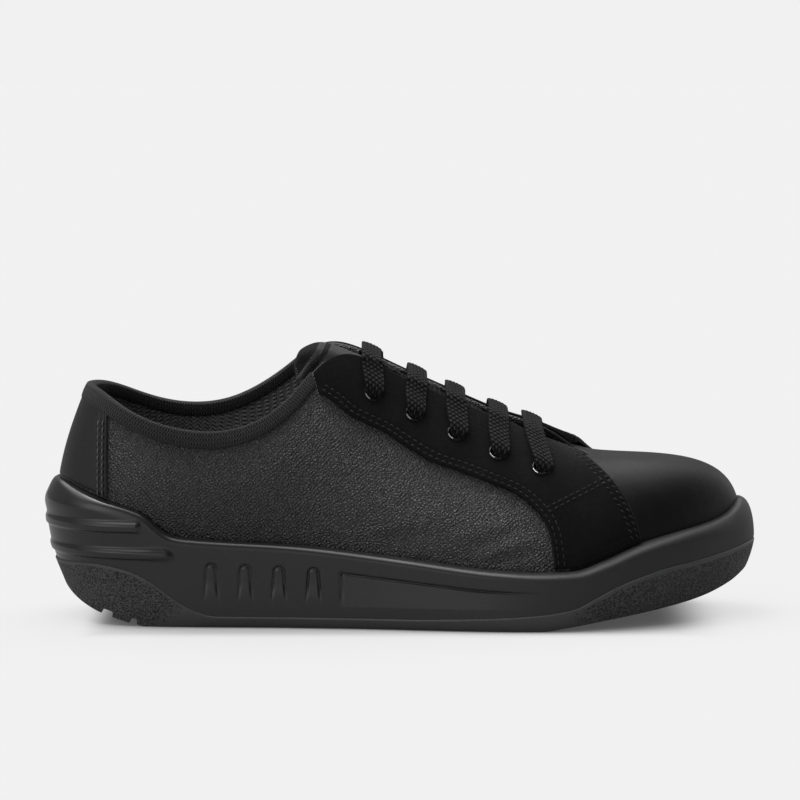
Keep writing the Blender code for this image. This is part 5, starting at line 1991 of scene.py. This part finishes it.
@dataclass
class Sole:
    """Moulded midsole, rubber outsole and footbed."""

    last: Last
    finishes: Finishes
    bars: tuple[HeelBar, ...] = (
        HeelBar(36.1, 41.5, -100.2, 1.5, BarEnd.SQUARE), HeelBar(25.7, 31.0, -87.7, 1.5, BarEnd.ROUND),
    )
    slots: tuple[Slot, ...] = (
        Slot(-75.6, 24.8, 9.5), Slot(-62.5, 24.4, 9.5), Slot(-49.5, 23.9, 9.5), Slot(-36.2, 23.5, 9.5),
    )
    panel_top: SideLine = SideLine((-22.7, 21.9), (0, 19.3), (19, 17.3), (28, 16.3), (42, 15.5), (62, 15.0))
    heel_roll: float = 1.1
    roll_at: float = 46.5
    roll_width: float = 4.0
    roll_span: Pair = (-128.0, -104.0)
    panel_foot: float = 8.5
    panel_depth: float = 1.0
    panel_fade: float = 34.0
    panel_edge: float = 0.7
    line_depth: float = 0.9
    line_at: float = 0.3
    line_width: float = 0.4
    side_rows: int = 62
    crown_rows: int = 13
    wrap_rows: int = 22
    seam_gap: float = 1.3
    outsole_proud: float = 0.5
    outsole_core: float = 3.5
    wrap_wall: float = 2.5
    grooves: tuple[tuple[float, float, float], ...] = (
        (-113.5, 4.2, 1.3), (-103, 2.6, 1.3), (-89, 3.0, 0.84), (-76, 3.0, 0.84), (-62, 3.0, 0.84),
        (10, 3.0, 0.84), (24, 3.0, 0.84), (38, 3.0, 0.84), (52, 3.0, 0.84), (66, 3.0, 0.84), (80, 3.0, 0.84),
        (94, 3.0, 0.84), (108, 3.0, 0.80),
    )
    groove_depth: float = 2.2
    groove_round: float = 0.9
    rough_heel: Pair = (-98.0, -82.0)
    rough_toe: float = 69.0
    rough_blend: float = 7.0
    insole_thick: float = 3.0
    insole_clear: float = 0.5

    def build(self) -> None:
        """Builds the three layers."""
        self._midsole()
        self._outsole()
        self._footbed()

    def _ring(self) -> Array:
        """Ring of the sole's columns.

        Returns:
            Ring shares, close together where the slots are.
        """
        k = np.linspace(0, TOE, 300)
        x = self.last.outline[0](k)
        weight = 1 + 1.6 * (ease(x, -84, -80) - ease(x, -30, -26)) + 0.8 * (1 - ease(x, -104, -86))
        run = np.concatenate([[0.0], np.cumsum((weight[1:] + weight[:-1]) / 2)])
        half = np.interp(np.linspace(0, run[-1], 420), run, k)
        return np.concatenate([half, TURN - half[-2::-1]])

    def _relief(self, x: Array, z: Array) -> Array:
        """Outward move of the sole's side.

        Args:
            x: Places along the shoe.
            z: Heights.

        Returns:
            Distances.
        """
        move = sum(form.relief(x, z) for form in (*self.bars, *self.slots))
        roll = hump(z, self.roll_at, self.roll_width) * (1 - ease(x, *self.roll_span))
        top = self.panel_top(x)
        first, final = self.panel_top.x[[0, -1]]
        fade = 1 - ease(x, final - self.panel_fade, final)
        share = np.clip((z - self.panel_foot) / (top - self.panel_foot), 0, 1)
        below = np.minimum(top - z, x - first)
        inside = ease(below, 0.0, self.panel_edge)
        line = self.line_depth * hump(below, self.line_at, self.line_width) * ease(share, 0.0, 0.5)
        return move + self.heel_roll * roll - fade * (self.panel_depth * share * inside + line)

    def _midsole(self) -> None:
        """Cup with its side relief and rolled rim."""
        last = self.last
        k = self._ring()
        x = last.outline[0](k)
        shoulder = RIM(x) - CROWN(x)
        crown = last.crown_inset(k)
        foot = JOINT(x) - 0.8
        rows = [last.outline_ring(k, JOINT_TUCK(x) + 3.0, foot)]
        for share in np.linspace(0, 1, self.side_rows):
            z = foot + share * (shoulder - foot)
            rows.append(last.wall(k, z, crown, self._relief(x, z)))
        for angle in np.linspace(0, math.pi / 2, self.crown_rows + 1)[1:]:
            z = shoulder + CROWN(x) * math.sin(angle)
            rows.append(last.wall(k, z, crown, self._relief(x, z) * math.cos(angle)))
        rim = last.rim_share(k)
        for share in (1.0, 0.85, 0.6, 0.3, 0.0):
            rows.append(last.skin(k, rim * share, last.gap * 0.4))
        patch = Patch()
        patch.grid(np.stack(rows))
        cup = patch.build("midsole_cup", self.finishes["moulded_sole"])
        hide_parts("midsole")

    def _ladder(self, ring: Array, height: Callable[[Array], Array], count: int) -> Array:
        """Grid across a ring, from its outer to its inner side.

        Args:
            ring: Points of the ring, the first and last one at the heel.
            height: Height of the grid over x.
            count: Points across.

        Returns:
            Points, shape (rungs, count, 3).
        """
        half = len(ring) // 2
        outer, inner = ring[: half + 1], ring[::-1][: half + 1]
        share = np.linspace(0, 1, count)[None, :, None]
        grid = outer[:, None] + (inner - outer)[:, None] * share
        inside = (share > 0) & (share < 1)
        level = height(grid[..., 0])[..., None]
        return np.where(inside, np.concatenate([grid[..., :2], level], -1), grid)

    def _outsole(self) -> None:
        """Tread plate, wrapped up round heel and toe, with grooves cut across it."""
        last = self.last
        k = self._ring()
        x = last.outline[0](k)
        top = JOINT(x) - last.gap / 2
        foot = last.outline_ring(k, TREAD_TUCK(x), 0.0)
        foot[:, 2] = TREAD(foot[:, 0])
        edge = last.outline_ring(k, JOINT_TUCK(x) - self.outsole_proud, top - 0.5)

        def core_height(at: Array) -> Array:
            """Height of the plate's upper face inside its wall."""
            return np.minimum(JOINT(at), TREAD(at) + self.outsole_core) - last.gap / 2

        core = last.outline_ring(k, TREAD_TUCK(x) + self.wrap_wall, 0.0)
        core[:, 2] = core_height(core[:, 0])
        rows = [core]
        for a in np.linspace(0, math.pi / 2, 5)[:-1]:
            lip = self.outsole_proud * math.sin(a)
            rows.append(last.outline_ring(k, JOINT_TUCK(x) - lip, top - 0.5 + 0.6 * math.cos(a)))
        _, (nx, ny) = last.plan(last.outline, k)
        out = np.stack([nx, ny, np.zeros_like(nx)], -1)
        swell = 0.7 * np.clip((top - TREAD(x)) / 20, 0, 1)
        for share in np.linspace(0, 1, self.wrap_rows):
            bend = share - 0.04 * np.sin(2 * math.pi * share)
            point = edge + (foot - edge) * bend
            rows.append(point + out * (swell * math.sin(math.pi * share))[:, None])
        patch = Patch()
        points = np.stack(rows)
        down = np.clip(top[:-1] - (points[1:, 1:, 2] + points[:-1, :-1, 2]) / 2, 0, None)
        rough = self._rough(points[:-1, :-1, 0], points[:-1, :-1, 2])
        patch.grid(points, finish=np.where((down < self.seam_gap) | ~rough, 1, 0))
        patch.grid(self._ladder(rows[-1], TREAD, 41))
        patch.grid(self._ladder(core, core_height, 9))
        plate = patch.build("outsole_tread", self.finishes["rough_rubber"], self.finishes["smooth_rubber"])
        self._cut(plate)
        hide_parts("outsole")

    def _rough(self, x: Array, z: Array) -> Array:
        """Where the side has the stipple, which breaks up towards the waist.

        Args:
            x: Places along the shoe.
            z: Heights.

        Returns:
            Whether each place has it.
        """
        scatter = (np.random.default_rng(7).random(x.shape) - 0.5) * self.rough_blend
        low, high = self.rough_heel
        heel = low + (high - low) * np.clip(z / 10, 0, 1)
        return (x + scatter < heel) | (x + scatter > self.rough_toe)

    def _groove(self, width: float) -> Array:
        """Cross-section of a groove with a rounded roof and mouth.

        Args:
            width: Width of the groove.

        Returns:
            Points with x across the groove and z up from the tread.
        """
        angle = np.linspace(0, math.pi / 2, 5)
        side, level = 1 - np.sin(angle), 1 - np.cos(angle)
        half, mouth, roof = width / 2, self.groove_round, min(self.groove_round, 0.48 * width)
        foot = np.array([[half + mouth, -3.0]])
        lip = np.stack([mouth * side + half, mouth * level - 0.15], -1)
        top = np.stack([half - roof * level, self.groove_depth - roof * side], -1)
        right = np.concatenate([foot, lip, top])
        return np.concatenate([right, right[::-1] * (-1, 1)])

    def _cut(self, plate: bpy.types.Object) -> None:
        """Cuts the grooves into the tread plate.

        Args:
            plate: The plate's object.
        """
        shape = bmesh.new()
        for x, width, reach in self.grooves:
            outer, inner = (float(self.last.outline[1](self.last.side_share(x, side))) for side in Side)
            slope = float(TREAD(x + 1) - TREAD(x - 1)) / 2
            tilt = Matrix.Rotation(-math.atan(slope), 4, "Y")
            place = Matrix.Scale(MM, 4) @ Matrix.Translation((x, (outer + inner) / 2, float(TREAD(x)))) @ tilt
            half = (inner - outer) * reach / 2
            ends = [
                [shape.verts.new(place @ Vector((across, end, up))) for across, up in self._groove(width)]
                for end in (-half, half)
            ]
            count = len(ends[0])
            shape.faces.new(ends[0])
            shape.faces.new(ends[1][::-1])
            for i in range(count):
                j = (i + 1) % count
                shape.faces.new((ends[0][j], ends[0][i], ends[1][i], ends[1][j]))
        bmesh.ops.recalc_face_normals(shape, faces=shape.faces)
        mesh = bpy.data.meshes.new("groove_cutter")
        shape.to_mesh(mesh)
        shape.free()
        cutter = add_object("groove_cutter", mesh)
        change = plate.modifiers.new("grooves", "BOOLEAN")
        change.operation, change.solver, change.object = "DIFFERENCE", "EXACT", cutter
        bpy.context.view_layer.update()
        graph = bpy.context.evaluated_depsgraph_get()
        cut = bpy.data.meshes.new_from_object(plate.evaluated_get(graph))
        plate.modifiers.clear()
        plate.data = cut
        cut.shade_smooth()
        cut.set_sharp_from_angle(angle=math.radians(40))
        bpy.data.objects.remove(cutter)

    def _footbed(self) -> None:
        """Loose footbed with a rounded upper edge."""
        last = self.last
        k = np.linspace(0, TURN, 361)
        base = last.feather_inset + last.wall_thick + self.insole_clear
        rows = []
        for inset, lift in ((0.0, 0.0), (0.0, 0.6), (0.25, 0.9), (0.9, 1.0)):
            ring = last.outline_ring(k, base + inset, 0.0)
            ring[:, 2] = FLOOR(ring[:, 0]) + last.gap + lift * self.insole_thick
            rows.append(ring)
        patch = Patch()
        top = last.gap + self.insole_thick
        grid = self._ladder(rows[-1], lambda at: FLOOR(at) + top, 31)
        patch.grid(np.stack(rows), np.stack(rows)[..., :2])
        patch.grid(grid, grid[..., :2])
        patch.grid(self._ladder(rows[0], lambda at: FLOOR(at) + last.gap, 5))
        bed = patch.build("footbed", self.finishes["footbed_fabric"])
        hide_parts("insole")


@dataclass(frozen=True)
class Glow:
    """Soft patch of light in the studio: its direction, half angles of its core and edge, and strength."""

    way: tuple[float, float, float]
    core: float
    edge: float
    strength: float


@dataclass
class Studio:
    """Pale floor, soft light all round and a camera at the photograph's angle."""

    distance: float = 1500.0
    elevation: float = 9.0
    pixel: float = 0.396
    frame: int = 800
    origin_pixel: Pair = (399.3, 612.6)
    sensor: float = 36.0
    floor_size: float = 12.0
    floor_drop: float = 0.2
    floor_tone: Pair = (0.62, 0.15)
    painted_floor_glow: Pair = (0.07, 0.683)
    contact_toe: Pair = (96.0, 136.0)
    contact_heel: Pair = (-108.0, -128.0)
    contact_side: Pair = (44.0, 66.0)
    bounce_tone: float = 0.36
    backdrop: float = 0.879
    ambient: float = 0.20
    glows: tuple[Glow, ...] = (
        Glow((-0.12, 0.28, 1.0), 20.0, 46.0, 2.65),
        Glow((-0.22, 0.12, 1.0), 5.0, 14.0, 5.5),
        Glow((-0.62, -0.68, 0.40), 8.0, 24.0, 0.50),
        Glow((-0.9, -0.55, 0.55), 8.0, 32.0, 0.5),
        Glow((0.69, 0.62, 0.36), 8.0, 26.0, 1.1),
        Glow((-0.55, -0.9, 0.16), 12.0, 44.0, 0.60),
        Glow((0.8, -0.6, 0.05), 15.0, 55.0, -0.18),
    )

    def build(self) -> None:
        """Sets up floor, light and camera."""
        self._floor()
        self._light()
        self._camera()

    def _floor(self) -> None:
        """Large floor just under the tread, matt near the shoe and lit further out by a painted glow that
        only the camera sees, so that the shoe's shadow stays short; other rays see a darker matt floor.
        """
        size = self.floor_size
        corners = [(-size, -size, 0), (size, -size, 0), (size, size, 0), (-size, size, 0)]
        mesh = bpy.data.meshes.new("studio_floor")
        mesh.from_pydata(corners, [], [(0, 1, 2, 3)])
        material = bpy.data.materials.new("studio_floor")
        material.use_nodes = True
        material.node_tree.nodes.clear()
        graph = Graph(material.node_tree)
        at = graph.node("ShaderNodeTexCoord").outputs["Object"]
        place = graph.node("ShaderNodeSeparateXYZ", {0: at}).outputs
        # Share of the painted glow on the floor: none in a box round the shoe's footprint, full beyond its
        # reach; the matt tone falls as the glow rises, so the floor far out stays evenly bright.
        away = graph.span(graph.math("ABSOLUTE", place["Y"]), *(at * MM for at in self.contact_side))
        for reach in (self.contact_toe, self.contact_heel):
            away = graph.math("MAXIMUM", away, graph.span(place["X"], *(at * MM for at in reach)))
        tone, glow = (graph.span(away, 0.0, 1.0, *pair) for pair in (self.floor_tone, self.painted_floor_glow))
        seen = graph.node("ShaderNodeBsdfDiffuse", {"Color": tone}).outputs[0]
        bounce = (self.bounce_tone, self.bounce_tone, self.bounce_tone, 1.0)
        bounced = graph.node("ShaderNodeBsdfDiffuse", {"Color": bounce}).outputs[0]
        painted_light = graph.node("ShaderNodeEmission", {"Color": glow}).outputs[0]
        seen = graph.node("ShaderNodeAddShader", {0: seen, 1: painted_light}).outputs[0]
        camera_ray = graph.node("ShaderNodeLightPath").outputs["Is Camera Ray"]
        both = graph.node("ShaderNodeMixShader", {0: camera_ray, 1: bounced, 2: seen})
        graph.node("ShaderNodeOutputMaterial", {"Surface": both.outputs[0]})
        mesh.materials.append(material)
        floor = add_object("studio_floor", mesh)
        floor.location.z = -self.floor_drop * MM

    def _light(self) -> None:
        """Dome of soft light with brighter patches."""
        world = bpy.data.worlds.new("studio_light")
        world.use_nodes = True
        graph = Graph(world.node_tree)
        way = graph.node("ShaderNodeTexCoord").outputs["Generated"]
        total: Socket | float = self.ambient
        for glow in self.glows:
            inputs = {0: way, 1: Vector(glow.way).normalized()}
            facing = graph.node("ShaderNodeVectorMath", inputs, operation="DOT_PRODUCT").outputs["Value"]
            edge, core = math.cos(math.radians(glow.edge)), math.cos(math.radians(glow.core))
            total = graph.math("ADD", graph.span(facing, edge, core, 0.0, glow.strength), total)
        world.node_tree.nodes.remove(world.node_tree.nodes["Background"])
        light = graph.node("ShaderNodeBackground", {"Color": total}).outputs[0]
        flat = (self.backdrop, self.backdrop, self.backdrop, 1.0)
        plain = graph.node("ShaderNodeBackground", {"Color": flat}).outputs[0]
        camera_ray = graph.node("ShaderNodeLightPath").outputs["Is Camera Ray"]
        both = graph.node("ShaderNodeMixShader", {0: camera_ray, 1: light, 2: plain})
        world.node_tree.links.new(both.outputs[0], world.node_tree.nodes["World Output"].inputs["Surface"])
        bpy.context.scene.world = world

    def _camera(self) -> None:
        """Camera that puts the shoe's origin on its pixel of the photograph."""
        tilt = math.radians(self.elevation)
        below = (self.origin_pixel[1] - self.frame / 2) * self.pixel
        aside = (self.frame / 2 - self.origin_pixel[0]) * self.pixel
        lift = math.atan(below / self.distance)
        data = bpy.data.cameras.new("photo_camera")
        data.sensor_width = self.sensor
        data.lens = self.sensor * self.distance * math.cos(lift) / (self.pixel * self.frame)
        data.clip_start, data.clip_end = 0.05, 60.0
        camera = add_object("photo_camera", data)
        back = Vector((0.0, -math.cos(tilt), math.sin(tilt))) * self.distance
        camera.location = (back + Vector((aside, 0.0, 0.0))) * MM
        camera.rotation_euler = (math.pi / 2 - tilt + lift, 0.0, 0.0)
        bpy.context.scene.camera = camera
        bpy.context.scene.view_settings.view_transform = "Standard"
        bpy.context.scene.view_settings.look = "None"


def main() -> None:
    """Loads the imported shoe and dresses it, piece by piece."""
    logging.basicConfig(level=logging.INFO, format="%(name)s %(message)s")
    for thing in list(bpy.data.objects):
        bpy.data.objects.remove(thing, do_unlink=True)
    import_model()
    Studio().build()
    last, finishes = Last(), Finishes()
    lacing, overlays = Lacing(last, finishes), Overlays(last, finishes)
    holes = lacing.frames()
    every_hole = [place for side in Side for place in holes[side]]
    Upper(last, finishes).build(every_hole, overlays.rear_ring(), overlays.wing_ring())
    overlays.build(holes, Stitching())
    lacing.build()
    Tongue(last, finishes).build()
    Sole(last, finishes).build()


if __name__ == "__main__":
    main()
